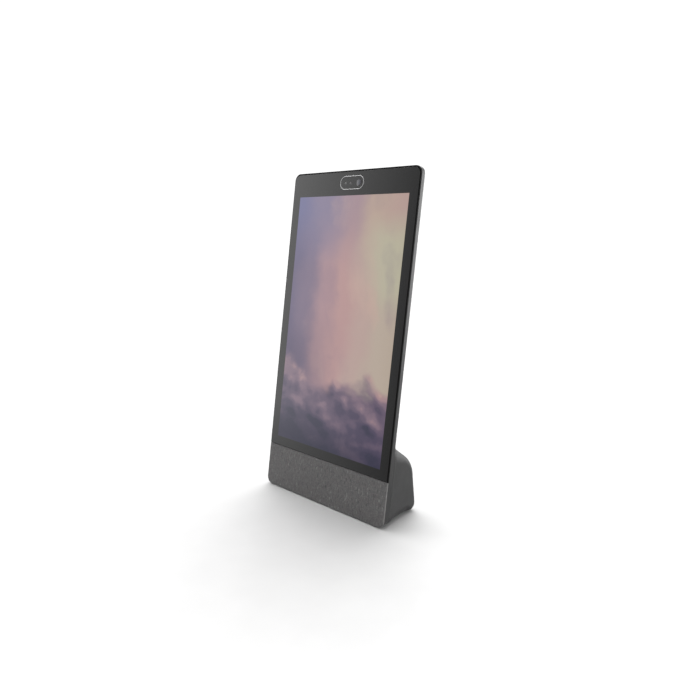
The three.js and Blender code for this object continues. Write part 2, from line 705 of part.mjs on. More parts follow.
// a rim on its top and two sides slips inside the opening
const skirt = solid(coverRegion(1.0))
  .subtract(solid(coverRegion(2.6)))
  .subtract(solid(behindWall(1.8)))
  .subtract(solid(block(-80, 20, -10, 80, 120, 22)))
  .intersect(solid(behindWall(7)));
const NOTCH_X = 16,
  NOTCH_Z = 21;
add(
  foot,
  "cable_cover",
  skin.add(skirt).subtract(solid(facing(plate(-NOTCH_X, 0, NOTCH_X, NOTCH_Z, [0, 0, 4, 4]), 40, 110, 4))),
  GREY,
  0.55,
);
add(
  foot,
  "lock_plate",
  cut(
    facing(plate(LOCK_X - 11, LOCK_Z - 8, LOCK_X + 11, LOCK_Z + 8, 1), 60, 100),
    facing(stadium(LOCK_X, LOCK_Z, 7, 3), 50, 110, 3),
    wallBehind(0.4),
    cut(block(-150, -50, -50, 150, 200, 200), wallBehind(2.0)),
  ),
  STEEL,
  0.4,
  0.9,
);

// ---------- flat cable from the bay up to the main board ----------
const inSlab = (d, s) => [
  d * Math.cos(TILT) + s * Math.sin(TILT),
  LIFT + s * Math.cos(TILT) - d * Math.sin(TILT),
];
const route = new THREE.CatmullRomCurve3(
  [
    [37.4, 50.4],
    [37.4, 58],
    [36.6, 67],
    [33.2, 76],
    inSlab(16.4, 84.6),
    inSlab(11.4, 87.6),
    inSlab(8.2, 91.2),
    inSlab(7.2, 96.5),
    inSlab(7.0, 120),
    inSlab(7.0, 151.6),
  ].map(([y, z]) => new THREE.Vector3(0, y, z)),
  false,
  "centripetal",
);
add(
  foot,
  "main_flat_cable",
  new THREE.ExtrudeGeometry(plate(-5, -0.4, 5, 0.4), { steps: 36, extrudePath: route, bevelEnabled: false }),
  0xc9c9c5,
  0.6,
);

export default device;
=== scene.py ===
"""Looks of a portrait desk video phone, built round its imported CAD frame.

Lengths in this file are millimetres until a mesh is made, when they become metres.
The slab's own axes are x, depth behind the glass (d) and distance up the face (s).
"""

import math

import bmesh
import bpy
import numpy as np
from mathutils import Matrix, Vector

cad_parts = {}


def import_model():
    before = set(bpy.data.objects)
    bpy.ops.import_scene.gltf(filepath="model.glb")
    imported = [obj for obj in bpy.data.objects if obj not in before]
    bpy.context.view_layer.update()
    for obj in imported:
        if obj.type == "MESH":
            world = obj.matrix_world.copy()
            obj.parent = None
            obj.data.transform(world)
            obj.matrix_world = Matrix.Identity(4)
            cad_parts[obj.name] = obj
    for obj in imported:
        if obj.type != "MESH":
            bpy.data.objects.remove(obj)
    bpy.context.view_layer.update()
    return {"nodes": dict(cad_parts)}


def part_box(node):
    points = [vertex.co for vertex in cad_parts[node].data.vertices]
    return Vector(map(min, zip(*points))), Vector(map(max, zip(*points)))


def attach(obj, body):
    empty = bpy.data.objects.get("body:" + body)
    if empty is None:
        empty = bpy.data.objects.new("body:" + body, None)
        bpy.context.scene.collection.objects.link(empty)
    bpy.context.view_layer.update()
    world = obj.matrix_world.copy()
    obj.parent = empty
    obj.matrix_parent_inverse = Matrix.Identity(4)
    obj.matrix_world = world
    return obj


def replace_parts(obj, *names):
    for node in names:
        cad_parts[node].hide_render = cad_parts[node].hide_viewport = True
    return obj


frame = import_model()

# ---------------------------------------------------------------- dimensions, as in the CAD model
TILT = math.radians(8.4)
CT, ST = math.cos(TILT), math.sin(TILT)
Y0, LIFT = 39.18, 0.9
HALF_W, SLAB_H, SLAB_T, CORNER_R = 111.4, 451.0, 10.0, 10.0
WALL, GAP = 1.8, 0.3
CHIN_TOP, PARTING, FRAME_BACK, GLASS_T = 60.0, 1.8, 3.0, 1.1
CAM_S, CAM_W, CAM_H = 434.2, 42.2, 18.2
LENS_X, SENSOR_X, LIGHT_X = 12.0, -2.6, -11.2
PIC_X, PIC_S0, PIC_S1 = 96.8, 73.4, 417.5
FOOT_BACK, LEAN = 79.6, 0.113
SLOPE_Y, SLOPE_Z, SLOPE_K = 42.5, 92.7, 0.874
TAPER, FOOT_WALL = 0.103, 2.4
BAY_X, BAY_Z0, BAY_Z1 = 44.5, 13.0, 51.5
TRAY_Y, PORT_Z = 50.0, 27.0
PORTS = {"ethernet": -24.0, "usb": 2.0, "power": 24.0}
KEY_D = 6.2  # depth of the keys' middle
KEYS = {"power_button": (352, 12), "volume_up_button": (318, 14), "volume_down_button": (298, 14)}
LOCK_X, LOCK_Z = 72.0, 30.0

lo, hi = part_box("rear_cover")
assert abs(hi.x * 1000 - HALF_W) < 0.05 and abs(lo.z * 1000 - LIFT) < 0.05, "the CAD slab has changed"
lo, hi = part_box("foot_housing")
assert abs((hi.y * 1000 + Y0) - (FOOT_BACK - 1.35)) < 0.2, "the CAD foot has changed"


# ---------------------------------------------------------------- frames
def in_slab(p):
    p = np.asarray(p, float).reshape(-1, 3)
    x, d, s = p.T
    return np.stack([x, d * CT + s * ST - Y0, LIFT + s * CT - d * ST], 1)


def in_foot(p):
    p = np.asarray(p, float).reshape(-1, 3)
    return p - np.array([0, Y0, 0])


WN = np.array([0, 1, LEAN]) / math.hypot(1, LEAN)


def on_wall(p):
    """x, distance out of the foot's rear wall, height up it."""
    p = np.asarray(p, float).reshape(-1, 3)
    x, n, t = p.T
    return np.stack([x, FOOT_BACK - LEAN * t - Y0, t], 1) + n[:, None] * WN


def plain(p):
    return np.asarray(p, float).reshape(-1, 3)


# ---------------------------------------------------------------- outlines
def rrect(x0, y0, x1, y1, r, n=8, rows=(), cols=()):
    """A rounded rectangle as points and outward normals, anticlockwise from the lower left corner."""
    r = list(r) if hasattr(r, "__len__") else [r] * 4
    r = [max(v, 0.02) for v in r]
    pts, nrm = [], []
    centres = [
        (x0 + r[0], y0 + r[0], 180),
        (x1 - r[1], y0 + r[1], 270),
        (x1 - r[2], y1 - r[2], 0),
        (x0 + r[3], y1 - r[3], 90),
    ]
    for k, (cx, cy, a0) in enumerate(centres):
        for i in range(n + 1):
            a = math.radians(a0 + 90 * i / n)
            pts.append((cx + r[k] * math.cos(a), cy + r[k] * math.sin(a)))
            nrm.append((math.cos(a), math.sin(a)))
        if k == 0:
            extra = [((c, y0), (0, -1)) for c in sorted(cols)]
        elif k == 1:
            extra = [((x1, c), (1, 0)) for c in sorted(rows)]
        elif k == 2:
            extra = [((c, y1), (0, 1)) for c in sorted(cols, reverse=True)]
        else:
            extra = [((x0, c), (-1, 0)) for c in sorted(rows, reverse=True)]
        for q, m in extra:
            pts.append(q)
            nrm.append(m)
    return np.array(pts, float), np.array(nrm, float)


def stadium(cx, cy, w, h, n=10):
    return rrect(cx - w / 2, cy - h / 2, cx + w / 2, cy + h / 2, min(w, h) / 2 - 0.01, n)


def circle(cx, cy, r, n=48):
    a = np.linspace(0, 2 * math.pi, n, endpoint=False)
    nrm = np.stack([np.cos(a), np.sin(a)], 1)
    return nrm * r + [cx, cy], nrm


def slab_outline(d, inset=0.0, top=SLAB_H, n=10, rows=(), top_r=CORNER_R):
    """The slab's outline at depth d. Its lower end is flat on a level plane, with corners round in
    the level view, so that they run on into the foot's; its upper end is square to the face."""
    r = max(CORNER_R - inset, 0.05)
    tr = max(top_r - inset, 0.05)
    w = HALF_W - inset
    pts, nrm = [], []
    up = lambda h: (h + d * ST) / CT

    def arc(cx, cy, rad, a0, low):
        for i in range(n + 1):
            a = math.radians(a0 + 90 * i / n)
            y = cy + rad * math.sin(a)
            pts.append((cx + rad * math.cos(a), up(y) if low else y))
            nrm.append((math.cos(a), math.sin(a)))

    arc(-w + r, inset + r, r, 180, True)
    arc(w - r, inset + r, r, 270, True)
    for c in sorted(rows):
        pts.append((w, c))
        nrm.append((1, 0))
    arc(w - tr, top - inset - tr, tr, 0, False)
    arc(-w + tr, top - inset - tr, tr, 90, False)
    for c in sorted(rows, reverse=True):
        pts.append((-w, c))
        nrm.append((-1, 0))
    return np.array(pts), np.array(nrm)


def facing(P, d):
    """2-D points (x, s) at depth d, or at a depth of their own."""
    d = np.full(len(P), d, float) if np.isscalar(d) else np.asarray(d, float)
    return np.stack([P[:, 0], d, P[:, 1]], 1)


def lying(P, z):
    z = np.full(len(P), z, float) if np.isscalar(z) else np.asarray(z, float)
    return np.stack([P[:, 0], P[:, 1], z], 1)


# ---------------------------------------------------------------- meshes
def loft(loops, ring=False, cap0=True, cap1=True):
    n = len(loops[0])
    verts = np.concatenate([np.asarray(l, float) for l in loops])
    faces = []
    m = len(loops)
    for k in range(m if ring else m - 1):
        a, b = k * n, ((k + 1) % m) * n
        for i in range(n):
            j = (i + 1) % n
            faces.append((a + i, a + j, b + j, b + i))
    if not ring:
        if cap0:
            faces.append(tuple(reversed(range(n))))
        if cap1:
            faces.append(tuple(range((m - 1) * n, m * n)))
    return verts, faces


def turn(profile, cx, cy, n=48, along="d"):
    """A turned solid about the depth axis at (cx, cy); profile is (radius, depth) from axis to axis."""
    verts, faces, rings = [], [], []
    for r, d in profile:
        if r < 1e-6:
            rings.append([len(verts)])
            verts.append((cx, d, cy))
        else:
            rings.append(list(range(len(verts), len(verts) + n)))
            for i in range(n):
                a = 2 * math.pi * i / n
                verts.append((cx + r * math.cos(a), d, cy + r * math.sin(a)))
    closed = len(rings[0]) > 1 and len(rings[-1]) > 1
    pairs = list(zip(rings, rings[1:])) + ([(rings[-1], rings[0])] if closed else [])
    for a, b in pairs:
        for i in range(n):
            j = (i + 1) % n
            if len(a) == 1 and len(b) == 1:
                continue
            if len(a) == 1:
                faces.append((a[0], b[j], b[i]))
            elif len(b) == 1:
                faces.append((a[i], a[j], b[0]))
            else:
                faces.append((a[i], a[j], b[j], b[i]))
    return np.array(verts, float), faces


def obj(name, geo, place=plain, uv=None):
    verts, faces = geo
    me = bpy.data.meshes.new(name)
    me.from_pydata((place(verts) * 0.001).tolist(), [], [tuple(int(i) for i in f) for f in faces])
    if uv is not None:
        layer = me.uv_layers.new(name="Cloth")
        idx = np.zeros(len(me.loops), int)
        me.loops.foreach_get("vertex_index", idx)
        layer.data.foreach_set("uv", (np.asarray(uv, float)[idx] * 0.001).astype(np.float32).ravel())
    bm = bmesh.new()
    bm.from_mesh(me)
    if bm.calc_volume(signed=True) < 0:
        bmesh.ops.reverse_faces(bm, faces=bm.faces[:])
    bm.to_mesh(me)
    bm.free()
    ob = bpy.data.objects.new(name, me)
    bpy.context.scene.collection.objects.link(ob)
    return ob


def settle(ob):
    """Applies every modifier to the mesh."""
    dg = bpy.context.evaluated_depsgraph_get()
    new = bpy.data.meshes.new_from_object(ob.evaluated_get(dg), preserve_all_data_layers=True, depsgraph=dg)
    old = ob.data
    ob.modifiers.clear()
    ob.data = new
    new.name = ob.name
    bpy.data.meshes.remove(old)
    return ob


def combine(ob, others, op="DIFFERENCE"):
    for o in others:
        m = ob.modifiers.new("b", "BOOLEAN")
        m.operation, m.object, m.solver = op, o, "MANIFOLD"
        settle(ob)
        if len(ob.data.polygons) == 0:
            raise RuntimeError(f"{ob.name}: {op} with {o.name} left nothing")
    for o in others:
        me = o.data
        bpy.data.objects.remove(o)
        bpy.data.meshes.remove(me)
    return ob


def tidy(ob, limit=1e-6):
    bm = bmesh.new()
    bm.from_mesh(ob.data)
    bmesh.ops.remove_doubles(bm, verts=bm.verts[:], dist=limit)
    bmesh.ops.dissolve_degenerate(bm, edges=bm.edges[:], dist=limit)
    bm.to_mesh(ob.data)
    bm.free()
    return ob


def bevel(ob, width, segments=2, angle=50):
    m = ob.modifiers.new("bevel", "BEVEL")
    m.width, m.segments, m.limit_method = width * 0.001, segments, "ANGLE"
    m.angle_limit, m.use_clamp_overlap, m.profile = math.radians(angle), True, 0.5
    m.loop_slide = True
    settle(ob)
    return ob


def shade(ob, angle=35, weighted=True):
    me = ob.data
    me.polygons.foreach_set("use_smooth", [True] * len(me.polygons))
    me.set_sharp_from_angle(angle=math.radians(angle))
    if weighted:
        m = ob.modifiers.new("weighted", "WEIGHTED_NORMAL")
        m.keep_sharp, m.weight, m.mode = True, 50, "FACE_AREA"
    me.update()
    return ob


def piece(ob, mat, body="root", nodes=(), angle=35, weighted=True):
    ob.data.materials.clear()
    for m in mat if isinstance(mat, (list, tuple)) else [mat]:
        ob.data.materials.append(m)
    shade(ob, angle, weighted)
    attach(ob, body)
    if nodes:
        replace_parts(ob, *nodes)
    return ob


# ---------------------------------------------------------------- node graphs
class Graph:
    def __init__(self, name):
        self.mat = bpy.data.materials.new(name)
        self.mat.use_nodes = True
        self.nt = self.mat.node_tree
        self.nt.nodes.clear()
        self.out = self.nt.nodes.new("ShaderNodeOutputMaterial")
        self.bsdf = self.nt.nodes.new("ShaderNodeBsdfPrincipled")
        self.nt.links.new(self.bsdf.outputs[0], self.out.inputs[0])
        coord = self.nt.nodes.new("ShaderNodeTexCoord")
        self.mm = self.vec("SCALE", coord.outputs["Object"], scale=1000.0)  # row-frame millimetres

    def set(self, **values):
        for k, v in values.items():
            socket = self.bsdf.inputs[k.replace("_", " ")]
            if isinstance(v, bpy.types.NodeSocket):
                self.nt.links.new(v, socket)
            else:
                socket.default_value = v
        return self

    def put(self, socket, v):
        if isinstance(v, bpy.types.NodeSocket):
            self.nt.links.new(v, socket)
        elif v is not None:
            socket.default_value = v

    def math(self, op, a, b=None, c=None, clamp=False):
        n = self.nt.nodes.new("ShaderNodeMath")
        n.operation, n.use_clamp = op, clamp
        for s, v in zip(n.inputs, (a, b, c)):
            self.put(s, v)
        return n.outputs[0]

    def vec(self, op, a, b=None, scale=None):
        n = self.nt.nodes.new("ShaderNodeVectorMath")
        n.operation = op
        self.put(n.inputs[0], a)
        if b is not None:
            self.put(n.inputs[1], b)
        if scale is not None:
            self.put(n.inputs["Scale"], scale)
        return n.outputs["Value" if op in ("DOT_PRODUCT", "LENGTH", "DISTANCE") else "Vector"]

    def sep(self, v):
        n = self.nt.nodes.new("ShaderNodeSeparateXYZ")
        self.put(n.inputs[0], v)
        return n.outputs[0], n.outputs[1], n.outputs[2]

    def comb(self, x=0.0, y=0.0, z=0.0):
        n = self.nt.nodes.new("ShaderNodeCombineXYZ")
        for s, v in zip(n.inputs, (x, y, z)):
            self.put(s, v)
        return n.outputs[0]

    def noise(self, v, scale, detail=2.0, rough=0.5, distortion=0.0, colour=False):
        n = self.nt.nodes.new("ShaderNodeTexNoise")
        self.put(n.inputs["Vector"], v)
        for k, x in (("Scale", scale), ("Detail", detail), ("Roughness", rough), ("Distortion", distortion)):
            n.inputs[k].default_value = x
        return n.outputs["Color" if colour else 0]

    def white(self, v):
        n = self.nt.nodes.new("ShaderNodeTexWhiteNoise")
        n.noise_dimensions = "3D"
        self.put(n.inputs["Vector"], v)
        return n.outputs["Value"]

    def voronoi(self, v, scale, feature="F1", rand=1.0, out="Distance"):
        n = self.nt.nodes.new("ShaderNodeTexVoronoi")
        n.feature = feature
        self.put(n.inputs["Vector"], v)
        n.inputs["Scale"].default_value = scale
        n.inputs["Randomness"].default_value = rand
        return n.outputs[out]

    def span(self, v, a, b, c=0.0, d=1.0, smooth=False):
        n = self.nt.nodes.new("ShaderNodeMapRange")
        n.interpolation_type = "SMOOTHSTEP" if smooth else "LINEAR"
        n.clamp = True
        self.put(n.inputs["Value"], v)
        for k, x in (("From Min", a), ("From Max", b), ("To Min", c), ("To Max", d)):
            self.put(n.inputs[k], x)
        return n.outputs[0]

    def ramp(self, v, stops, mode="EASE"):
        n = self.nt.nodes.new("ShaderNodeValToRGB")
        n.color_ramp.interpolation = mode
        e = n.color_ramp.elements
        while len(e) > 1:
            e.remove(e[-1])
        e[0].position, e[0].color = stops[0][0], (*stops[0][1], 1)
        for p, c in stops[1:]:
            x = e.new(p)
            x.color = (*c, 1)
        self.put(n.inputs[0], v)
        return n.outputs[0]

    def mix(self, f, a, b, mode="MIX"):
        n = self.nt.nodes.new("ShaderNodeMix")
        n.data_type, n.blend_type = "RGBA", mode
        n.clamp_factor = True
        self.put(n.inputs[0], f)
        for s, v in ((n.inputs[6], a), (n.inputs[7], b)):
            self.put(s, (*v, 1) if isinstance(v, tuple) and len(v) == 3 else v)
        return n.outputs[2]

    def lerp(self, f, a, b):
        n = self.nt.nodes.new("ShaderNodeMix")
        n.data_type = "FLOAT"
        self.put(n.inputs[0], f)
        self.put(n.inputs[2], a)
        self.put(n.inputs[3], b)
        return n.outputs[0]

    def bump(self, height, strength, distance_mm, normal=None):
        n = self.nt.nodes.new("ShaderNodeBump")
        n.inputs["Strength"].default_value = strength
        n.inputs["Distance"].default_value = distance_mm * 0.001
        self.put(n.inputs["Height"], height)
        if normal is not None:
            self.put(n.inputs["Normal"], normal)
        return n.outputs[0]


def lin(*rgb):
    """sRGB 0 to 255 to linear."""
    out = []
    for v in rgb:
        v /= 255
        out.append(v / 12.92 if v <= 0.04045 else ((v + 0.055) / 1.055) ** 2.4)
    return tuple(out)


def moulded(name, tone, rough=(0.5, 0.6), grain=0.34, depth=0.016, vary=0.07, level=0.5):
    """Moulded plastic: spark-eroded grain, faint flow tone, and a little uneven gloss from handling."""
    g = Graph(name)
    cell = g.voronoi(g.mm, 1 / grain, "SMOOTH_F1")
    fine = g.noise(g.mm, 1.6 / grain, 3, 0.6)
    broad = g.noise(g.mm, 0.011, 3, 0.55)
    handle = g.noise(g.mm, 0.05, 4, 0.6)
    t = g.math("ADD", g.math("MULTIPLY", g.math("SUBTRACT", broad, 0.5), vary * 2), 1.0)
    t = g.math("ADD", t, g.math("MULTIPLY", g.math("SUBTRACT", fine, 0.5), vary * 2.4))
    g.set(
        Base_Color=g.vec("SCALE", g.comb(*tone), scale=t),
        Roughness=g.span(g.math("ADD", handle, g.math("MULTIPLY", fine, 0.25)), 0.35, 0.9, rough[0], rough[1]),
        Specular_IOR_Level=level,
        Normal=g.bump(g.math("ADD", cell, g.math("MULTIPLY", fine, 0.5)), 0.55, depth),
    )
    return g.mat


def sheet_metal(name, tone, rough=(0.28, 0.42), stretch=(0.05, 1.0, 1.0), depth=0.004):
    """Rolled or brushed metal: fine lines along one axis."""
    g = Graph(name)
    v = g.vec("MULTIPLY", g.mm, (stretch[0] * 9, stretch[1] * 9, stretch[2] * 9))
    lines = g.noise(v, 1.0, 4, 0.65)
    blot = g.noise(g.mm, 0.06, 3, 0.5)
    g.set(
        Base_Color=g.vec("SCALE", g.comb(*tone), scale=g.span(g.math("ADD", lines, g.math("MULTIPLY", blot, 0.5)), 0.3, 1.1, 0.82, 1.08)),
        Metallic=1.0,
        Roughness=g.span(g.math("ADD", lines, g.math("MULTIPLY", blot, 0.6)), 0.3, 1.2, rough[0], rough[1]),
        Normal=g.bump(lines, 0.35, depth),
    )
    return g.mat


# grey housing plastic, black plastic, rubber
GREY = moulded("GreyHousing", (0.034, 0.034, 0.0344), (0.32, 0.44))
FOOT_GREY = moulded("FootGrey", (0.0275, 0.0275, 0.0278), (0.6, 0.72))
BLACK = moulded("BlackPlastic", (0.0085, 0.0085, 0.009), (0.3, 0.42), grain=0.22, depth=0.006)
LIP = moulded("FrameBlack", (0.004, 0.004, 0.0042), (0.5, 0.62), grain=0.22, depth=0.006, level=0.1)
TRAY = moulded("TrayPlastic", (0.02, 0.02, 0.021), (0.5, 0.62), grain=0.5, depth=0.02)
STEEL = sheet_metal("ZincSteel", (0.46, 0.47, 0.475))
ALU = sheet_metal("RolledAluminium", (0.62, 0.63, 0.64), (0.32, 0.46))
BALLAST = moulded("PhosphatedSteel", (0.05, 0.05, 0.052), (0.55, 0.75), grain=0.8, depth=0.02, vary=0.15)


def rubber():
    g = Graph("SiliconeRubber")
    fine = g.noise(g.mm, 5, 3, 0.6)
    dust = g.noise(g.mm, 0.4, 4, 0.65)
    g.set(
        Base_Color=g.mix(g.span(dust, 0.5, 0.8, 0, 0.25), (0.011, 0.011, 0.011), (0.05, 0.048, 0.045)),
        Roughness=g.span(fine, 0.3, 0.7, 0.75, 0.92),
        Normal=g.bump(fine, 0.4, 0.03),
    )
    return g.mat


def satin_trim():
    """The camera window's thin ring: satin anodised metal, turned, so its lines run round the ring."""
    g = Graph("SatinTrim")
    fine = g.noise(g.mm, 6, 3, 0.6)
    lines = g.noise(g.vec("MULTIPLY", g.mm, (1.2, 22, 22)), 1.0, 2, 0.5)
    g.set(
        Base_Color=g.vec("SCALE", g.comb(0.5, 0.5, 0.505), scale=g.span(lines, 0.3, 0.7, 0.88, 1.06)),
        Metallic=0.85,
        Roughness=g.span(fine, 0.3, 0.7, 0.34, 0.44),
        Normal=g.bump(lines, 0.25, 0.004),
    )
    return g.mat


def board():
    g = Graph("CircuitBoard")
    x, y, z = g.sep(g.mm)
    cells = g.voronoi(g.mm, 0.45, "F1", 0.4, "Distance")
    tracks = g.math("LESS_THAN", g.math("ABSOLUTE", g.math("SINE", g.math("MULTIPLY", g.math("ADD", x, g.math("MULTIPLY", z, 0.5)), 2.6))), 0.3)
    area = g.math("GREATER_THAN", g.noise(g.mm, 0.09, 2, 0.5), 0.52)
    pads = g.math("LESS_THAN", cells, 0.16)
    mask = g.mix(g.math("MULTIPLY", tracks, area), (0.006, 0.045, 0.02), (0.012, 0.085, 0.036))
    g.set(
        Base_Color=g.mix(pads, mask, (0.55, 0.42, 0.16)),
        Metallic=g.math("MULTIPLY", pads, 0.9),
        Roughness=g.span(g.noise(g.mm, 1.2, 3, 0.5), 0.3, 0.7, 0.28, 0.42),
        Normal=g.bump(g.math("MULTIPLY", tracks, area), 0.5, 0.03),
    )
    return g.mat


def tinted(name, a, b, scale, rough, metallic=0.0, depth=0.01):
    g = Graph(name)
    v = g.noise(g.mm, scale, 4, 0.6)
    f = g.noise(g.mm, scale * 7, 3, 0.6)
    g.set(
        Base_Color=g.mix(g.span(v, 0.3, 0.7), a, b),
        Metallic=metallic,
        Roughness=g.span(f, 0.3, 0.7, rough[0], rough[1]),
        Normal=g.bump(f, 0.4, depth),
    )
    return g.mat


RUBBER, TRIM, BOARD = rubber(), satin_trim(), board()
DARK_TRIM = sheet_metal("DarkTrim", (0.24, 0.24, 0.243), (0.4, 0.5))
COPPER = tinted("CopperFlex", (0.3, 0.13, 0.035), (0.42, 0.2, 0.06), 0.6, (0.3, 0.45), 0.6)
CONE = tinted("PulpCone", (0.016, 0.016, 0.016), (0.03, 0.029, 0.028), 0.8, (0.7, 0.9), 0, 0.05)
FERRITE = tinted("Ferrite", (0.03, 0.03, 0.031), (0.048, 0.047, 0.047), 0.5, (0.4, 0.6), 0.2, 0.03)
FLEX = tinted("FlatCable", (0.5, 0.49, 0.45), (0.6, 0.59, 0.55), 0.3, (0.35, 0.5))
GOLD = tinted("GoldContact", (0.75, 0.5, 0.16), (0.85, 0.6, 0.22), 2.0, (0.2, 0.32), 1.0, 0.003)
GRAPHITE = tinted("GraphiteFilm", (0.012, 0.012, 0.0125), (0.02, 0.02, 0.021), 0.25, (0.5, 0.68), 0.0, 0.02)
SHIELD = sheet_metal("SocketShield", (0.05, 0.051, 0.052), (0.5, 0.62))
DARK_FLEX = tinted("DarkFlatCable", (0.013, 0.013, 0.0135), (0.021, 0.021, 0.021), 0.4, (0.4, 0.55))
FROST = tinted("FrostedPipe", (0.24, 0.245, 0.245), (0.3, 0.305, 0.305), 2.0, (0.3, 0.5))
PANEL = tinted("DisplayModule", (0.05, 0.052, 0.055), (0.07, 0.072, 0.075), 0.2, (0.2, 0.34))


def cloth():
    """Melange plain weave. The map holds millimetres along the two yarns; every yarn float has a
    shade of its own, a few of them pale or nearly black, as a yarn spun from mixed fibres has."""
    g = Graph("MelangeCloth")
    uv = g.nt.nodes.new("ShaderNodeUVMap")
    uv.uv_map = "Cloth"
    mm = g.vec("SCALE", uv.outputs[0], scale=1000.0)
    wob = g.noise(mm, 0.35, 2, 0.5, colour=True)
    mm = g.vec("ADD", mm, g.vec("SCALE", g.vec("SUBTRACT", wob, (0.5, 0.5, 0.5)), scale=0.5))
    u, v, _ = g.sep(mm)
    pitch = 0.62
    a, b = g.math("DIVIDE", u, pitch), g.math("DIVIDE", v, pitch)
    ia, ib = g.math("FLOOR", a), g.math("FLOOR", b)
    fa, fb = g.math("SUBTRACT", a, ia), g.math("SUBTRACT", b, ib)
    odd = g.math("FLOORED_MODULO", g.math("ADD", ia, ib), 2.0)
    sa, sb = g.math("SINE", g.math("MULTIPLY", fa, math.pi)), g.math("SINE", g.math("MULTIPLY", fb, math.pi))
    warp = g.math("MULTIPLY", g.math("POWER", sa, 0.6), g.math("ADD", g.math("MULTIPLY", sb, 0.45), 0.55))
    weft = g.math("MULTIPLY", g.math("POWER", sb, 0.6), g.math("ADD", g.math("MULTIPLY", sa, 0.45), 0.55))
    height = g.lerp(odd, warp, weft)
    # shade of each float, with slubs that run a few floats along the yarn
    run_warp = g.white(g.comb(ia, g.math("FLOOR", g.math("DIVIDE", g.math("ADD", ib, g.math("MULTIPLY", g.white(g.comb(ia, 3.0, 1.0)), 7.0)), 4.0)), 1.0))
    run_weft = g.white(g.comb(g.math("FLOOR", g.math("DIVIDE", g.math("ADD", ia, g.math("MULTIPLY", g.white(g.comb(ib, 5.0, 2.0)), 7.0)), 4.0)), ib, 2.0))
    run = g.lerp(odd, run_warp, run_weft)
    one = g.white(g.comb(ia, ib, 4.0))
    r = g.math("ADD", g.math("MULTIPLY", run, 0.7), g.math("MULTIPLY", one, 0.3))
    shade_ = g.ramp(
        r,
        [
            (0.0, (0.07, 0.0695, 0.069)),
            (0.2, (0.094, 0.0935, 0.093)),
            (0.5, (0.11, 0.109, 0.109)),
            (0.78, (0.127, 0.126, 0.126)),
            (0.93, (0.165, 0.163, 0.163)),
            (1.0, (0.28, 0.277, 0.275)),
        ],
        "LINEAR",
    )
    # faint long streaks up the cloth, from uneven yarn
    streak = g.noise(g.vec("MULTIPLY", mm, (0.75, 0.14, 1.0)), 1.0, 3, 0.6)
    shade_ = g.vec("SCALE", shade_, scale=g.span(streak, 0.3, 0.7, 0.93, 1.28))
    # short thick places in the yarn, a few of them pale and a few dark
    tall_ = g.comb(g.math("FLOOR", g.math("DIVIDE", u, 1.24)), g.math("FLOOR", g.math("ADD", g.math("DIVIDE", v, 3.72), g.white(g.comb(g.math("FLOOR", g.math("DIVIDE", u, 1.24)), 9.0, 5.0)))), 6.0)
    slub = g.white(tall_)
    shade_ = g.vec("SCALE", shade_, scale=g.math("ADD", g.span(slub, 0.945, 1.0, 1.0, 1.6, True), g.span(slub, 0.0, 0.1, -0.3, 0.0, True)))
    warm = g.noise(mm, 0.12, 3, 0.6)
    shade_ = g.mix(g.span(warm, 0.35, 0.65, 0.0, 0.6), shade_, g.mix(1.0, shade_, (1.04, 0.975, 0.98), "MULTIPLY"))
    # painted highlight: the cloth's colour turns paler along its wrapped side edges, for the thin light line those
    # rounded edges catch
    painted_edge_highlight = g.span(g.math("ABSOLUTE", u), HALF_W - 1.0, HALF_W - 0.35, 0.0, 0.34, True)
    shade_ = g.mix(painted_edge_highlight, shade_, (0.42, 0.415, 0.41))
    # painted shade: the colour darkens down the sides of each yarn into the hollows between yarns
    weave_hollow_shade = g.span(height, 0.0, 0.5, 0.55, 1.0)
    fibres = g.noise(g.vec("MULTIPLY", mm, (3.0, 3.0, 3.0)), 3.0, 3, 0.7)
    g.set(
        Base_Color=g.vec("MULTIPLY", shade_, g.comb(weave_hollow_shade, weave_hollow_shade, weave_hollow_shade)),
        Roughness=g.span(fibres, 0.3, 0.7, 0.86, 0.98),
        Sheen_Weight=0.28,
        Sheen_Roughness=0.45,
        Specular_IOR_Level=0.3,
        Normal=g.bump(g.math("ADD", height, g.math("MULTIPLY", fibres, 0.25)), 0.8, 0.11),
    )
    return g.mat


CLOTH = cloth()


def slab_axes(g):
    """x, depth and distance up the face, in millimetres, from the row frame's coordinates."""
    m = g.nt.nodes.new("ShaderNodeMapping")
    m.vector_type = "POINT"
    g.put(m.inputs["Vector"], g.vec("ADD", g.mm, (0.0, Y0, -LIFT)))
    m.inputs["Rotation"].default_value = (TILT, 0, 0)
    return g.sep(m.outputs[0])


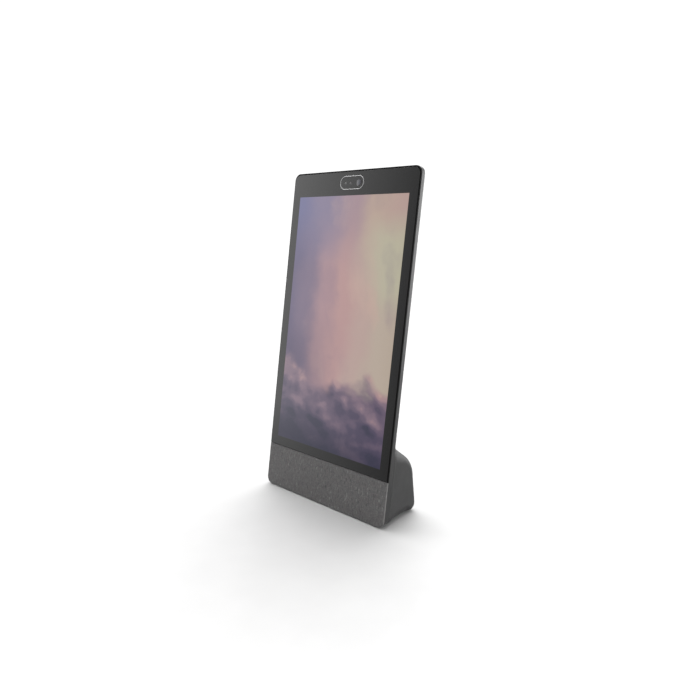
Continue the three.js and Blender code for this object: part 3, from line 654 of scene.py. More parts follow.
def front_glass():
    """Polished glass printed black behind, with the lit picture: a generic evening sky with cloud."""
    g = Graph("FrontGlass")
    x, d, s = slab_axes(g)
    u = g.span(x, -PIC_X, PIC_X)
    v = g.span(s, PIC_S0, PIC_S1)
    inside = g.math(
        "MULTIPLY",
        g.math("LESS_THAN", g.math("ABSOLUTE", x), PIC_X),
        g.math("MULTIPLY", g.math("GREATER_THAN", s, PIC_S0), g.math("LESS_THAN", s, PIC_S1)),
    )
    inside = g.math("MULTIPLY", inside, g.math("LESS_THAN", d, 0.3))
    at = g.comb(u, g.math("MULTIPLY", v, 1.78), 0.0)
    warp = g.noise(at, 1.6, 4, 0.55, colour=True)
    bent = g.vec("ADD", at, g.vec("SCALE", g.vec("SUBTRACT", warp, (0.5, 0.5, 0.5)), scale=0.34))
    bu, bv, _ = g.sep(bent)
    # sky: cool on the left, rose in the middle, pale gold on the right
    sky = g.ramp(
        bu,
        [
            (0.0, lin(98, 88, 120)),
            (0.16, lin(122, 106, 130)),
            (0.33, lin(172, 138, 143)),
            (0.5, lin(185, 147, 145)),
            (0.68, lin(186, 160, 152)),
            (0.85, lin(186, 170, 155)),
            (1.0, lin(184, 168, 152)),
        ],
    )
    high = g.ramp(
        bu,
        [
            (0.0, lin(104, 104, 146)),
            (0.3, lin(132, 121, 148)),
            (0.55, lin(164, 138, 146)),
            (0.75, lin(186, 162, 148)),
            (1.0, lin(184, 156, 148)),
        ],
    )
    sky = g.mix(g.span(bv, 1.2, 1.74, 0, 1, True), sky, high)
    gold = g.math("MULTIPLY", g.span(bu, 0.62, 0.92, 0, 1, True), g.math("MULTIPLY", g.span(bv, 0.95, 1.25, 0, 1, True), g.span(bv, 1.74, 1.5, 0, 1, True)))
    sky = g.mix(g.math("MULTIPLY", gold, 0.85), sky, lin(187, 183, 158))
    veil = g.noise(g.vec("MULTIPLY", bent, (1.0, 0.45, 1.0)), 3.0, 4, 0.5)
    sky = g.mix(g.math("MULTIPLY", g.span(veil, 0.52, 0.74, 0, 0.4, True), g.span(bu, 0.12, 0.36, 0, 1, True)), sky, lin(206, 172, 158))
    sky = g.mix(g.span(veil, 0.46, 0.26, 0, 0.3, True), sky, lin(126, 106, 132))
    # dusk haze, thicker low down on the left
    murk = g.math("MULTIPLY", g.span(bv, 1.12, 0.5, 0, 1, True), g.span(bu, 0.62, 0.02, 0, 0.72, True))
    sky = g.mix(murk, sky, lin(80, 67, 96))
    # billowing cloud in the lower third, lit from the upper right
    def billow(shift, fine):
        q = g.vec("ADD", g.vec("MULTIPLY", at, (1.0, 1.2, 1.0)), shift)
        soft = g.noise(q, 2.6, 3, 0.42, 0.35)
        lobes = g.math("SUBTRACT", 1.0, g.voronoi(g.vec("ADD", q, g.vec("SCALE", g.noise(q, 5.0, 2, 0.5, colour=True), scale=0.16)), 5.2, "SMOOTH_F1"))
        return g.math("ADD", g.math("ADD", g.math("MULTIPLY", soft, 0.62), g.math("MULTIPLY", lobes, 0.3)), g.math("MULTIPLY", g.noise(q, 11.0, 4, 0.5), fine))
    here = billow((0.0, 0.0, 0.0), 0.1)
    ahead = billow((0.03, 0.045, 0.0), 0.1)
    relief = g.math("MULTIPLY", g.math("SUBTRACT", here, ahead), 5.5)
    level = g.math("SUBTRACT", g.math("ADD", v, g.math("MULTIPLY", u, 0.05)), g.math("MULTIPLY", here, 0.56))
    bank = g.span(g.math("SUBTRACT", level, g.span(u, 0.05, 0.75, 0.05, 0.0, True)), 0.035, -0.05, 0, 1, True)
    tone = g.math("ADD", g.math("ADD", g.span(v, 0.02, 0.34, 0.14, 0.68), g.math("MULTIPLY", relief, 0.52)), g.span(u, 0.0, 1.0, -0.06, 0.1))
    body = g.ramp(
        tone,
        [
            (0.05, lin(46, 44, 70)),
            (0.25, lin(72, 62, 88)),
            (0.45, lin(98, 82, 104)),
            (0.65, lin(128, 106, 122)),
            (0.85, lin(168, 136, 140)),
            (1.0, lin(190, 156, 150)),
        ],
    )
    pic = g.mix(bank, sky, body)
    pic = g.mix(g.span(g.math("ADD", v, g.math("MULTIPLY", u, 0.09)), 0.21, -0.01, 0, 0.92, True), pic, lin(22, 20, 52))
    smudge = g.noise(g.vec("MULTIPLY", g.mm, (0.02, 0.02, 0.012)), 1.0, 5, 0.6, 0.4)
    wipe = g.noise(g.vec("MULTIPLY", g.mm, (0.3, 0.3, 0.02)), 1.0, 3, 0.5)
    g.set(
        Base_Color=g.mix(inside, (0.0035, 0.0035, 0.0038), (0.006, 0.006, 0.007)),
        Roughness=g.span(g.math("ADD", smudge, g.math("MULTIPLY", wipe, 0.3)), 0.4, 0.95, 0.045, 0.1),
        IOR=1.52,
        Coat_Weight=0.0,
        Emission_Color=g.mix(inside, (0.0, 0.0, 0.0), pic),
        Emission_Strength=0.86,
    )
    return g.mat


GLASS = front_glass()


def window_glass():
    g = Graph("WindowGlass")
    fine = g.noise(g.mm, 0.6, 4, 0.6)
    g.set(
        Base_Color=g.mix(g.span(fine, 0.3, 0.7), (0.006, 0.006, 0.0065), (0.01, 0.01, 0.011)),
        Roughness=g.span(fine, 0.3, 0.7, 0.08, 0.15),
        IOR=1.52,
    )
    return g.mat


def lens_glass():
    """Coated front element of clear glass. Its colour is a painted reflection of the coating's violet-green cast:
    darkest at the centre, lighter in a ring part way out, darker again at the rim.
    """
    g = Graph("LensGlass")
    x, d, s = slab_axes(g)
    r = g.math("SQRT", g.math("ADD", g.math("POWER", g.math("SUBTRACT", x, LENS_X), 2.0), g.math("POWER", g.math("SUBTRACT", s, CAM_S), 2.0)))
    # painted reflection: a lighter violet ring round the lens centre, darker at the centre and the rim
    painted_ring_reflection = g.ramp(g.math("DIVIDE", r, 4.2), [(0.0, (0.02, 0.022, 0.03)), (0.4, (0.045, 0.05, 0.062)), (0.75, (0.06, 0.055, 0.072)), (1.0, (0.03, 0.03, 0.034))])
    g.set(
        Base_Color=painted_ring_reflection,
        Roughness=g.span(g.noise(g.mm, 1.0, 2, 0.5), 0.3, 0.7, 0.08, 0.13),
        IOR=1.6,
        Specular_IOR_Level=0.5,
        Coat_Weight=0.15,
        Coat_Roughness=0.02,
    )
    return g.mat


def sensor_glass():
    g = Graph("SensorWindow")
    f = g.noise(g.mm, 2.0, 3, 0.5)
    g.set(
        Base_Color=g.mix(g.span(f, 0.3, 0.7), (0.12, 0.114, 0.117), (0.15, 0.143, 0.146)),
        Roughness=g.span(f, 0.3, 0.7, 0.06, 0.12),
        IOR=1.55,
    )
    return g.mat


WINDOW, LENS, SENSOR = window_glass(), lens_glass(), sensor_glass()

# ---------------------------------------------------------------- front glass and its frame
EDGE = 0.2


def glass_rect(grow=0.0, n=12):
    return rrect(-109.9 - grow, CHIN_TOP + 0.6 - grow, 109.9 + grow, 448.7 + grow, [1 + grow, 1 + grow, 8.8 + grow, 8.8 + grow], n)[0]


def plate_loops(outline, front, back, r_front=0.4, r_back=0.12, seg=5, grow_sign=-1):
    """Loops from the back of a plate round its edge to the front; outline(g) gives the outline grown by g."""
    loops = [facing(outline(-r_back - 0.15), back), facing(outline(-r_back), back), facing(outline(0), back - r_back)]
    for i in range(seg + 1):
        a = math.pi / 2 * i / seg
        loops.append(facing(outline(-r_front * (1 - math.cos(a))), front + r_front * (1 - math.sin(a))))
    loops.append(facing(outline(-r_front - 0.15), front))
    return loops


glass = obj("front_glass", loft(plate_loops(glass_rect, 0, GLASS_T, EDGE, 0.15)), in_slab)


def flared(outline, d_front, d_back, flare, place=in_slab, name="cut", below=3.0):
    """A cutter for a hole whose mouth at d_front is chamfered by flare."""
    loops = [
        facing(outline(0), d_back),
        facing(outline(0), d_front + flare),
        facing(outline(flare), d_front),
        facing(outline(flare + below), d_front - below),
    ]
    return obj(name, loft(loops), place)


cam_hole = lambda g: stadium(0, CAM_S, CAM_W + 0.7 + 2 * g, CAM_H + 0.7 + 2 * g, 16)[0]
combine(glass, [flared(cam_hole, 0, 4, 0.12)])
piece(glass, GLASS, nodes=["cover_glass"], angle=30)

# black frame: a lip round the glass, a ledge under it and a tongue that enters the rear cover
# the lip is widest along the top
frame_rect = lambda g: rrect(-111.1 - g, CHIN_TOP + 0.2 - g, 111.1 + g, 450.7 + g - 0.8 * min(max((-g - 0.3) / 0.32, 0), 1), [max(0.6 + g, 0.1)] * 2 + [9.7 + g] * 2, 12)[0]
tongue_rect = lambda: rrect(-109.2, CHIN_TOP + 0.3, 109.2, 448.8, [0.5, 0.5, 7.8, 7.8], 12)[0]
ledge = lambda: rrect(-102.4, 65.6, 102.4, 424.4, 1, 12)[0]
loops = []
for g_, d_ in ((-0.9, 0.7), (-0.86, 0.48), (-0.76, 0.36), (-0.62, 0.3), (-0.3, 0.3), (-0.14, 0.34), (-0.04, 0.44), (0, 0.58), (0, 1.7), (-0.08, PARTING)):
    loops.append(facing(frame_rect(g_), d_))
loops += [facing(tongue_rect(), PARTING), facing(tongue_rect(), FRAME_BACK), facing(ledge(), FRAME_BACK), facing(ledge(), GLASS_T + GAP), facing(frame_rect(-0.9), GLASS_T + GAP)]
front_frame = obj("front_frame_trim", loft(loops, ring=True), in_slab)
combine(front_frame, [obj("cut", loft([facing(stadium(0, CAM_S, CAM_W - 3, CAM_H - 3, 12)[0], d) for d in (-1, 8)]), in_slab)])
piece(front_frame, LIP, nodes=["front_frame"], angle=40)

# ---------------------------------------------------------------- rear cover
ROWS = [66, 72, 78, 82, 86, 90, 94, 98, 102, 106, 110, 118, 140, 300, 420]


def back_radius(s):
    """The back edge is round above the foot and square where the foot meets it flush."""
    t = np.clip((s - 86) / 22, 0, 1)
    return 0.12 + 2.9 * t * t * (3 - 2 * t)


outer = [facing(slab_outline(PARTING + 0.15, 0.2, rows=ROWS)[0], PARTING + 0.15), facing(slab_outline(PARTING + 0.35, 0, rows=ROWS)[0], PARTING + 0.35)]
for d in (3.6, 5.4):
    outer.append(facing(slab_outline(d, rows=ROWS)[0], d))
SEG = 9
for i in range(SEG + 1):
    a = math.pi / 2 * i / SEG
    P, N = slab_outline(SLAB_T, rows=ROWS)
    rb = back_radius(P[:, 1])
    d = SLAB_T - rb * (1 - math.sin(a))
    # the outline at each point's own depth, then moved in by its own radius
    own = np.array([slab_outline(float(q), rows=ROWS)[0][k] for k, q in enumerate(d)])
    outer.append(facing(own - N * (rb * (1 - math.cos(a)))[:, None], d))
P, N = slab_outline(SLAB_T, rows=ROWS)
rb = back_radius(P[:, 1])
outer.append(facing(P - N * (rb + 0.4)[:, None], SLAB_T))
rear = obj("rear_shell", loft(outer), in_slab)
inner = [facing(slab_outline(d, WALL, rows=ROWS)[0], d) for d in (0, 3, SLAB_T - WALL)]
cutters = [obj("cut", loft(inner), in_slab)]
window = lambda g: rrect(-82 - g, 12.5 - g, 82 + g, 56 + g, 4, 6)[0]
cutters.append(obj("cut", loft([facing(window(0), d) for d in (6, 20)]), in_slab))
cutters.append(obj("cut", loft([facing(circle(0, 88, 8)[0], d) for d in (6, 20)]), in_slab))


def slab_mouth(outline, surface, deep, flare=0.35):
    """A cutter from inside the shell out through its back, with a chamfered mouth."""
    return obj(
        "cut",
        loft([facing(outline(0), deep), facing(outline(0), surface - flare), facing(outline(flare), surface), facing(outline(flare + 2), surface + 2)]),
        in_slab,
    )


for i in range(-7, 8):
    cutters.append(slab_mouth(lambda g, i=i: stadium(i * 10, 404, 3 + 2 * g, 18 + 2 * g, 8)[0], SLAB_T, 7))
for x in (-88, -52, 52, 88):
    cutters.append(obj("cut", loft([facing(circle(x, 76, 1.6, 20)[0], d) for d in (7, 14)]), in_slab))
for x in (-46, 46):  # microphone ports through the top edge, with a small countersink
    c = circle(x, 5.6, 1, 24)[0]
    ring = lambda r, s: np.stack([(c[:, 0] - x) * r + x, (c[:, 1] - 5.6) * r + 5.6, np.full(len(c), s)], 1)
    cutters.append(obj("cut", loft([ring(0.7, 445), ring(0.7, SLAB_H - 0.3), ring(1.05, SLAB_H + 0.05), ring(1.05, SLAB_H + 2)]), in_slab))


def side_pocket(s, h, grow, x_from=-114.0, x_to=-108.0, flare=0.3):
    """A pocket with round ends through the left wall, chamfered at the outer face."""
    def ring(g, x):
        P = stadium(KEY_D, s, 3.2 + 2 * grow + 2 * g, h + 2 * grow + 2 * g, 8)[0]
        return np.stack([np.full(len(P), x), P[:, 0], P[:, 1]], 1)
    return [ring(flare + 2.5, x_from), ring(flare, -HALF_W), ring(0, -HALF_W + flare), ring(0, x_to)]


for name, (s, h) in KEYS.items():
    cutters.append(obj("cut", loft(side_pocket(s, h, 0.3)), in_slab))
combine(rear, cutters)
tidy(rear)
piece(rear, GREY, nodes=["rear_cover"], angle=32)

# keys: round-ended caps with a soft crown, flange behind and a plunger
for name, (s, h) in KEYS.items():
    def ring(g, x, dw=0.0):
        P = stadium(KEY_D, s, 3.2 + 2 * g + dw, h + 2 * g, 8)[0]
        return np.stack([np.full(len(P), x), P[:, 0], P[:, 1]], 1)

    x0 = -HALF_W + 0.05
    loops = [ring(-1.4, x0), ring(-1.0, x0 + 0.01), ring(-0.55, x0 + 0.05), ring(-0.3, x0 + 0.13), ring(-0.1, x0 + 0.28), ring(0, x0 + 0.5)]
    loops += [ring(0, -109.0), ring(0.9, -109.0), ring(0.9, -108.3), ring(-0.6, -108.3), ring(-0.6, -107.62)]
    key = obj(name + "_cap", loft(loops), in_slab)
    cuts = []
    if name == "power_button":  # a shallow ring groove marks the power key
        def groove(r, x):
            a = np.linspace(0, 2 * math.pi, 40, endpoint=False)
            return np.stack([np.full(40, x), KEY_D + r * np.cos(a), s + r * np.sin(a)], 1)
        cuts.append(obj("cut", loft([groove(1.1, x0 - 1), groove(1.1, x0 + 0.22), groove(0.8, x0 + 0.22), groove(0.8, x0 - 1)], ring=True), in_slab))
    else:  # a dished end tells the two volume keys apart by touch
        end = s + (h / 2 - 3.4) * (1 if name == "volume_up_button" else -1)
        def dish(r, x):
            a = np.linspace(0, 2 * math.pi, 28, endpoint=False)
            return np.stack([np.full(28, x), KEY_D + r * np.cos(a), end + r * np.sin(a)], 1)
        cuts.append(obj("cut", loft([dish(1.7, x0 - 1), dish(1.05, x0 - 0.01), dish(0.75, x0 + 0.14), dish(0.35, x0 + 0.2)]), in_slab))
    combine(key, cuts)
    piece(key, GREY, body=name, nodes=[name], angle=35)

# ---------------------------------------------------------------- camera window
ring_out = lambda g: stadium(0, CAM_S, CAM_W + 2 * g, CAM_H + 2 * g, 16)[0]
loops = []
for g_, d_ in ((0, GLASS_T), (0, 0.1), (-0.06, -0.08), (-0.18, -0.19), (-0.36, -0.25), (-0.62, -0.25), (-0.86, -0.2), (-1.06, -0.06), (-1.2, 0.14), (-1.2, GLASS_T)):
    loops.append(facing(ring_out(g_), d_))
piece(obj("camera_trim_ring", loft(loops, ring=True), in_slab), TRIM, nodes=["camera_ring"], angle=50)

win = lambda g: stadium(0, CAM_S, CAM_W - 3 + 2 * g, CAM_H - 3 + 2 * g, 16)[0]
window_plate = obj("camera_window_glass", loft(plate_loops(win, 0.15, GLASS_T, 0.2, 0.1, 3)), in_slab)


def round_cut(x, r, flare, d_front=0.15):
    c = lambda g: circle(x, CAM_S, r + g, 40)[0]
    return obj("cut", loft([facing(c(0), 4), facing(c(0), d_front + flare), facing(c(flare), d_front), facing(c(flare + 2), d_front - 2)]), in_slab)


combine(window_plate, [round_cut(LENS_X, 4.3, 0.45), round_cut(SENSOR_X, 1.8, 0.28), round_cut(LIGHT_X, 1.5, 0.28)])
# the three chamfers are bright-cut: those faces lean both inwards and forwards
window_plate.data.materials.clear()
window_plate.data.materials.append(WINDOW)
window_plate.data.materials.append(DARK_TRIM)
nrm = np.array([0, -CT, ST])
for p in window_plate.data.polygons:
    lean = abs(float(np.dot(np.array(p.normal), nrm)))
    c = np.array(p.center) * 1000
    s_here = ((c[1] + Y0) * ST + (c[2] - LIFT) * CT)
    near = min(math.hypot(c[0] - LENS_X, s_here - CAM_S) - 4.6, math.hypot(c[0] - SENSOR_X, s_here - CAM_S) - 2.0, math.hypot(c[0] - LIGHT_X, s_here - CAM_S) - 1.7)
    if 0.35 < lean < 0.95 and near < 0.35:
        p.material_index = 1
shade(window_plate, 30)
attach(window_plate, "root")
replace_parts(window_plate, "camera_window")


def dome(r, top, edge, n=8):
    """A crowned front face from the axis out to radius r."""
    return [(r * math.sin(math.pi / 2 * i / n) if i < n else r, edge - (edge - top) * math.cos(math.pi / 2 * i / n) ** 1.0) for i in range(n + 1)]


def crowned(name, x, r, top, edge, back, mat, nodes, body="root"):
    prof = [(0.0, top)]
    for i in range(1, 9):
        q = r * i / 8
        prof.append((q, top + (edge - top) * (q / r) ** 2))
    prof += [(r, back - 0.1), (r - 0.1, back), (0.0, back)]
    return piece(obj(name, turn(prof, x, CAM_S, 48), in_slab), mat, body, nodes, angle=50)


crowned("camera_lens_front", LENS_X, 4.0, 0.25, 0.42, 1.5, LENS, ["camera_lens"])
crowned("presence_sensor_lens", SENSOR_X, 1.42, 0.3, 0.5, 6.0, SENSOR, ["presence_sensor"])
crowned("status_light_lens", LIGHT_X, 1.13, 0.3, 0.45, 6.0, FROST, ["status_light_pipe"])
prof = [(4.6, 4.4), (4.6, 1.8), (4.5, 1.7), (3.2, 1.7), (3.2, 2.1), (2.95, 2.1), (2.95, 2.5), (2.7, 2.5), (2.7, 3.0), (2.45, 3.0), (2.45, 3.6), (2.2, 3.6), (2.2, 4.4)]
piece(obj("camera_barrel_stepped", turn(prof, LENS_X, CAM_S, 48), in_slab), BLACK, nodes=["camera_barrel"], angle=30)

# ---------------------------------------------------------------- cloth over the chin
def cloth_skin():
    top = CHIN_TOP - 0.1
    thick = 0.5
    n = 14

    def base(d):
        P, N = slab_outline(d, 0.0, top=top, n=n, rows=[20, 30, 40, 50], top_r=0.9)
        return P, N

    P, N = base(0.1)
    # how much a point belongs to the upper edge, where the cloth is tucked in rather than wrapped round
    up = np.clip(N[:, 1], 0, 1) * (P[:, 1] > 30)
    rho = 1.15 * (1 - up) + 0.55 * up
    deep = PARTING * (1 - up) + 1.4 * up
    rings, flats = [], []

    def add(inset, d, run):
        own = np.array([base(float(q))[0][k] for k, q in enumerate(d)])
        rings.append(facing(own - N * inset[:, None], d))
        P1, _ = base(0.1)
        flats.append(P1 - N * rho[:, None] + N * run[:, None])

    front = 0.1
    one = np.ones(len(P))
    add(rho + 0.3, front * one, -0.3 * one)
    for i in range(8):
        a = math.pi / 2 * i / 7
        add(rho * (1 - math.sin(a)), front + rho * (1 - math.cos(a)), rho * a)
    mid = (front + rho + deep) / 2
    add(0 * one, mid, rho * math.pi / 2 + (mid - front - rho))
    add(0 * one, deep - 0.12, rho * math.pi / 2 + (deep - front - rho))
    add(0.12 * one, deep, rho * math.pi / 2 + (deep - front - rho) + 0.1)
    add((thick - 0.12) * one, deep, rho * math.pi / 2 + (deep - front - rho) + 0.3)
    add(thick * one, deep - 0.12, rho * math.pi / 2 + (deep - front - rho))
    for i in range(7, -1, -1):
        a = math.pi / 2 * i / 7
        r_in = np.maximum(rho - thick, 0.05)
        add(rho - r_in * math.sin(a), front + rho - r_in * math.cos(a) + 0 * one, rho * a)
    add(rho + 0.3, front + thick * one + np.maximum(0, thick - rho) * 0, -0.3 * one)
    verts, faces = loft(rings)
    return obj("grille_cloth", (verts, faces), in_slab, uv=np.concatenate(flats))


grille = cloth_skin()
piece(grille, CLOTH, nodes=["grille_fabric"], angle=60)

# ---------------------------------------------------------------- foot housing
back_y = lambda z: FOOT_BACK - LEAN * z
slope_z = lambda y: SLOPE_Z - SLOPE_K * (y - SLOPE_Y)
knee_y = (FOOT_BACK - LEAN * (SLOPE_Z + SLOPE_K * SLOPE_Y)) / (1 - LEAN * SLOPE_K)
CORNERS = [(-60, LIFT, 18, 10), (back_y(LIFT), LIFT, 9.9, 6.6), (knee_y, slope_z(knee_y), 42.7, 9.1), (-60, slope_z(-60), 20, 17.5)]
ease = lambda t: 0.0 if t <= 0 else 1.0 if t >= 1 else t * t * (3 - 2 * t)


def run_fillet(i, run, whole):
    a, b = CORNERS[i][3], CORNERS[(i + 1) % 4][3]
    if i == 0:  # along the bottom it grows to 14 behind the slab, and tightens again before the rear corner
        return a + (14 - a) * ease((run - 54) / 20) + (b - 14) * ease((run - whole + 14) / 14)
    return a + (b - a) * ease(run / 28 if i == 2 else run / whole)


def foot_profile(inset, arc=14, pitch=3.0):
    n = len(CORNERS)
    c = [np.array(q[:2], float) for q in CORNERS]
    dirs = [(c[(i + 1) % n] - c[i]) / np.linalg.norm(c[(i + 1) % n] - c[i]) for i in range(n)]
    out = []
    for i in range(n):
        before, after = dirs[i - 1], dirs[i]
        turn_ = math.acos(np.clip(before @ after, -1, 1))
        R = CORNERS[i][2]
        start = c[i] - before * R * math.tan(turn_ / 2)
        centre = start + np.array([-before[1], before[0]]) * R
        for k in range(arc + 1):
            a = turn_ * k / arc
            n0 = np.array([before[1], -before[0]])
            nn = np.array([n0[0] * math.cos(a) - n0[1] * math.sin(a), n0[0] * math.sin(a) + n0[1] * math.cos(a)])
            out.append((centre + nn * R, nn, CORNERS[i][3]))
        turn_next = math.acos(np.clip(after @ dirs[(i + 1) % n], -1, 1))
        end = c[(i + 1) % n] - after * CORNERS[(i + 1) % n][2] * math.tan(turn_next / 2)
        begin = out[-1][0]
        whole = np.linalg.norm(end - begin)
        steps = 1 if i == 3 else max(1, round(whole / pitch))
        nn = np.array([after[1], -after[0]])
        for k in range(1, steps):
            t = k / steps
            out.append((begin + (end - begin) * t, nn, run_fillet(i, t * whole, whole)))
    P = np.array([o[0] for o in out])
    N = np.array([o[1] for o in out])
    R = np.array([o[2] for o in out])
    return P - N * inset, N, np.maximum(R - inset, 0.8)


depth_of = lambda y, z: y * CT - (z - LIFT) * ST
half_at = lambda y, z: HALF_W - TAPER * (depth_of(y, z) - SLAB_T)


def foot_block(inset, arc=14, pitch=3.0, around=12):
    P, N, R = foot_profile(inset, arc, pitch)
    rings = []
    steps = [None] + list(range(around + 1))
    for k in steps:
        if k is None:  # a narrow flat band, so that the side stays flat up to the fillet
            q, x_in = P - N * (R + 0.5)[:, None], 0
        else:
            a = math.pi / 2 * k / around
            q, x_in = P - N * (R * (1 - math.sin(a)))[:, None], R * (1 - math.cos(a))
        x = half_at(q[:, 0], q[:, 1]) - inset - x_in
        rings.append(np.stack([x, q[:, 0], q[:, 1]], 1))
    # a second band beside the top fillet keeps the broad surfaces flat
    last = rings[-1].copy()
    last[:, 0] -= 0.6
    rings.append(last)
    mirror = [r * np.array([-1, 1, 1]) for r in reversed(rings)]
    return loft(rings + mirror)


foot = obj("foot_shell", foot_block(0), in_foot)
cutters = [obj("cut", foot_block(FOOT_WALL, 8, 6, 6), in_foot)]
slab_box = lambda front, back: (np.array([(x, d, s) for d in (front, back) for x, s in ((-150, -300), (150, -300), (150, 500), (-150, 500))], float), [(0, 1, 2, 3), (4, 7, 6, 5), (0, 4, 5, 1), (1, 5, 6, 2), (2, 6, 7, 3), (3, 7, 4, 0)])
# the inner cavity must not reach through the front: it is cut back there first
combine(foot, [obj("cut", slab_box(-200, SLAB_T + 0.1), in_slab)])
combine(cutters[0], [obj("cut", slab_box(-200, SLAB_T - 1.5), in_slab)])


def plate_edge(inset, r=2.0, n=5):
    half = lambda y: HALF_W - 14 - TAPER * (y - SLAB_T) - inset
    y0, y1 = 16 + inset, 66 - inset
    P, N = rrect(-1, y0, 1, y1, r, n)
    P = P.copy()
    h = half(P[:, 1])
    P[:, 0] = np.where(P[:, 0] > 0, P[:, 0] - 1 + h, P[:, 0] + 1 - h)
    return P


cutters.append(obj("cut", loft([lying(plate_edge(0), z) for z in (-5, 8)]), in_foot))


def wall_mouth(outline, flare=0.35, deep=-14.0):
    return obj(
        "cut",
        loft([facing(outline(0), deep), facing(outline(0), -flare), facing(outline(flare), 0), facing(outline(flare + 3), 3)]),
        on_wall,
    )


bay = lambda g: rrect(-BAY_X - g, BAY_Z0 - g, BAY_X + g, BAY_Z1 + g, 3 + g, 8)[0]
cutters.append(wall_mouth(bay, 0.3))
cutters.append(wall_mouth(lambda g: stadium(LOCK_X, LOCK_Z, 7 + 2 * g, 3 + 2 * g, 10)[0], 0.35))
combine(foot, cutters)
tidy(foot)
piece(foot, FOOT_GREY, nodes=["foot_housing"], angle=30)

# ---------------------------------------------------------------- underside: plate, pads, screws
PADS = {"foot_pad_front_left": (-70, 22), "foot_pad_front_right": (70, 22), "foot_pad_rear_left": (-66, 59.6), "foot_pad_rear_right": (66, 59.6)}
SCREWS = {"base_screw_front_left": (-88, 26), "base_screw_front_right": (88, 26), "base_screw_rear_left": (-84, 57), "base_screw_rear_right": (84, 57)}
pad_rect = lambda x, y, g: rrect(x - 13 - g, y - 3.6 - g, x + 13 + g, y + 3.6 + g, 3.2 + g, 8)[0]
base = obj("base_plate_moulding", loft([lying(plate_edge(0.7), 1.2), lying(plate_edge(0.5), 1.25), lying(plate_edge(0.35), 1.45), lying(plate_edge(0.35), 3.2)]), in_foot)
cutters = []
for x, y in PADS.values():
    cutters.append(obj("cut", loft([lying(pad_rect(x, y, 0.6), -1), lying(pad_rect(x, y, 0.5), 1.2), lying(pad_rect(x, y, 0.3), 1.4), lying(pad_rect(x, y, 0.3), 2.1)]), in_foot))
for x, y in SCREWS.values():
    c = lambda r, z: lying(circle(x, y, r, 32)[0], z)
    cutters.append(obj("cut", loft([c(3.5, -1), c(3.5, 1.2), c(3.3, 1.4), c(3.3, 2.3), c(1.8, 2.3), c(1.8, 5)]), in_foot))
for k in range(-6, 7):  # ribs moulded as shallow grooves between the pads
    P = lambda g, k=k: stadium(k * 8, 41, 1.6 + 2 * g, 24 + 2 * g, 6)[0]
    cutters.append(obj("cut", loft([lying(P(0.3), 0), lying(P(0.15), 1.2), lying(P(0), 1.6)]), in_foot))
combine(base, cutters)
piece(base, TRAY, nodes=["base_plate"], angle=35)
for name, (x, y) in PADS.items():
    loops = [lying(pad_rect(x, y, -1.2), 0), lying(pad_rect(x, y, -0.6), 0), lying(pad_rect(x, y, -0.25), 0.1), lying(pad_rect(x, y, -0.06), 0.3), lying(pad_rect(x, y, 0), 0.6), lying(pad_rect(x, y, 0), 1.7), lying(pad_rect(x, y, -0.15), 1.8)]
    piece(obj(name + "_rubber", loft(loops), in_foot), RUBBER, nodes=[name], angle=40)


def screw(name, place, ring, mat=STEEL):
    """Pan-head screw: ring(r, h) gives a circle of radius r at height h above the seat of the head."""
    loops = [ring(0.4, 0.72), ring(1.6, 0.7), ring(2.3, 0.58), ring(2.65, 0.36), ring(2.75, 0.12), ring(2.7, 0.0), ring(1.25, -0.05)]
    z = -0.05
    while z > -6.0:
        z -= 0.25
        loops.append(ring(1.05 if round(z / 0.25) % 2 else 1.28, z))
    loops.append(ring(0.5, -6.3))
    ob = obj(name + "_fastener", loft(loops), place)
    return ob


for name, (x, y) in SCREWS.items():
    # heads face down: seat at z 2.0, crown at z 1.3
    def ring(r, h, x=x, y=y):
        return lying(circle(x, y, r, 28)[0], 2.0 - h)
    head = screw(name, in_foot, ring)
    hexagon = lambda g, x=x, y=y: circle(x, y, 1.1 + g, 6)[0]
    combine(head, [obj("cut", loft([lying(hexagon(0.25), 1.0), lying(hexagon(0.12), 1.28), lying(hexagon(0), 1.42), lying(hexagon(0), 1.8)]), in_foot)])
    piece(head, STEEL, nodes=[name], angle=30)

# ---------------------------------------------------------------- cable cover
cover_rect = lambda g: rrect(-BAY_X + 0.4 - g, BAY_Z0 + 0.4 - g, BAY_X - 0.4 + g, BAY_Z1 - 0.4 + g, 2.7 + g, 8)[0]
loops = [facing(cover_rect(-0.5), -2.2), facing(cover_rect(-0.2), -2.2), facing(cover_rect(0), -2.0)]
for i in range(6):
    a = math.pi / 2 * i / 5
    loops.append(facing(cover_rect(-0.45 * (1 - math.cos(a))), -0.02 - 0.45 * (1 - math.sin(a))))
loops.append(facing(cover_rect(-0.8), -0.02))
cover = obj("bay_cover", loft(loops), on_wall)
skirt_rect = lambda g: rrect(-BAY_X + 1.0 - g, BAY_Z0 + 1.0 - g, BAY_X - 1.0 + g, BAY_Z1 - 1.0 + g, 2.2 + g, 8)[0]
skirt = obj("cut", loft([facing(skirt_rect(0), -1.9), facing(skirt_rect(0), -6.6), facing(skirt_rect(-0.3), -6.9), facing(skirt_rect(-1.3), -6.9), facing(skirt_rect(-1.6), -6.6), facing(skirt_rect(-1.6), -1.9)], ring=True), on_wall)
low = obj("cut", loft([facing(rrect(-80, -10, 80, 22, 0.1, 2)[0], n_) for n_ in (-1.8, -20)]), on_wall)
combine(skirt, [low])
combine(cover, [skirt], "UNION")
notch = lambda g: rrect(-16 - g, 0, 16 + g, 21 + g, [0.1, 0.1, 4 + g, 4 + g], 8)[0]
# a scoop for a fingertip near the top edge
def scoop():
    loops = []
    for k in range(9):
        a = math.pi / 2 * k / 8
        q = math.sin(a)
        P, _ = stadium(0, 43.5, 26 * max(q, 0.04), 9 * max(q, 0.04), 12)
        loops.append(facing(P, -0.9 * math.cos(a)))
    P, _ = stadium(0, 43.5, 30, 13, 12)
    loops.append(facing(P, 2.0))
    return obj("cut", loft(loops), on_wall)


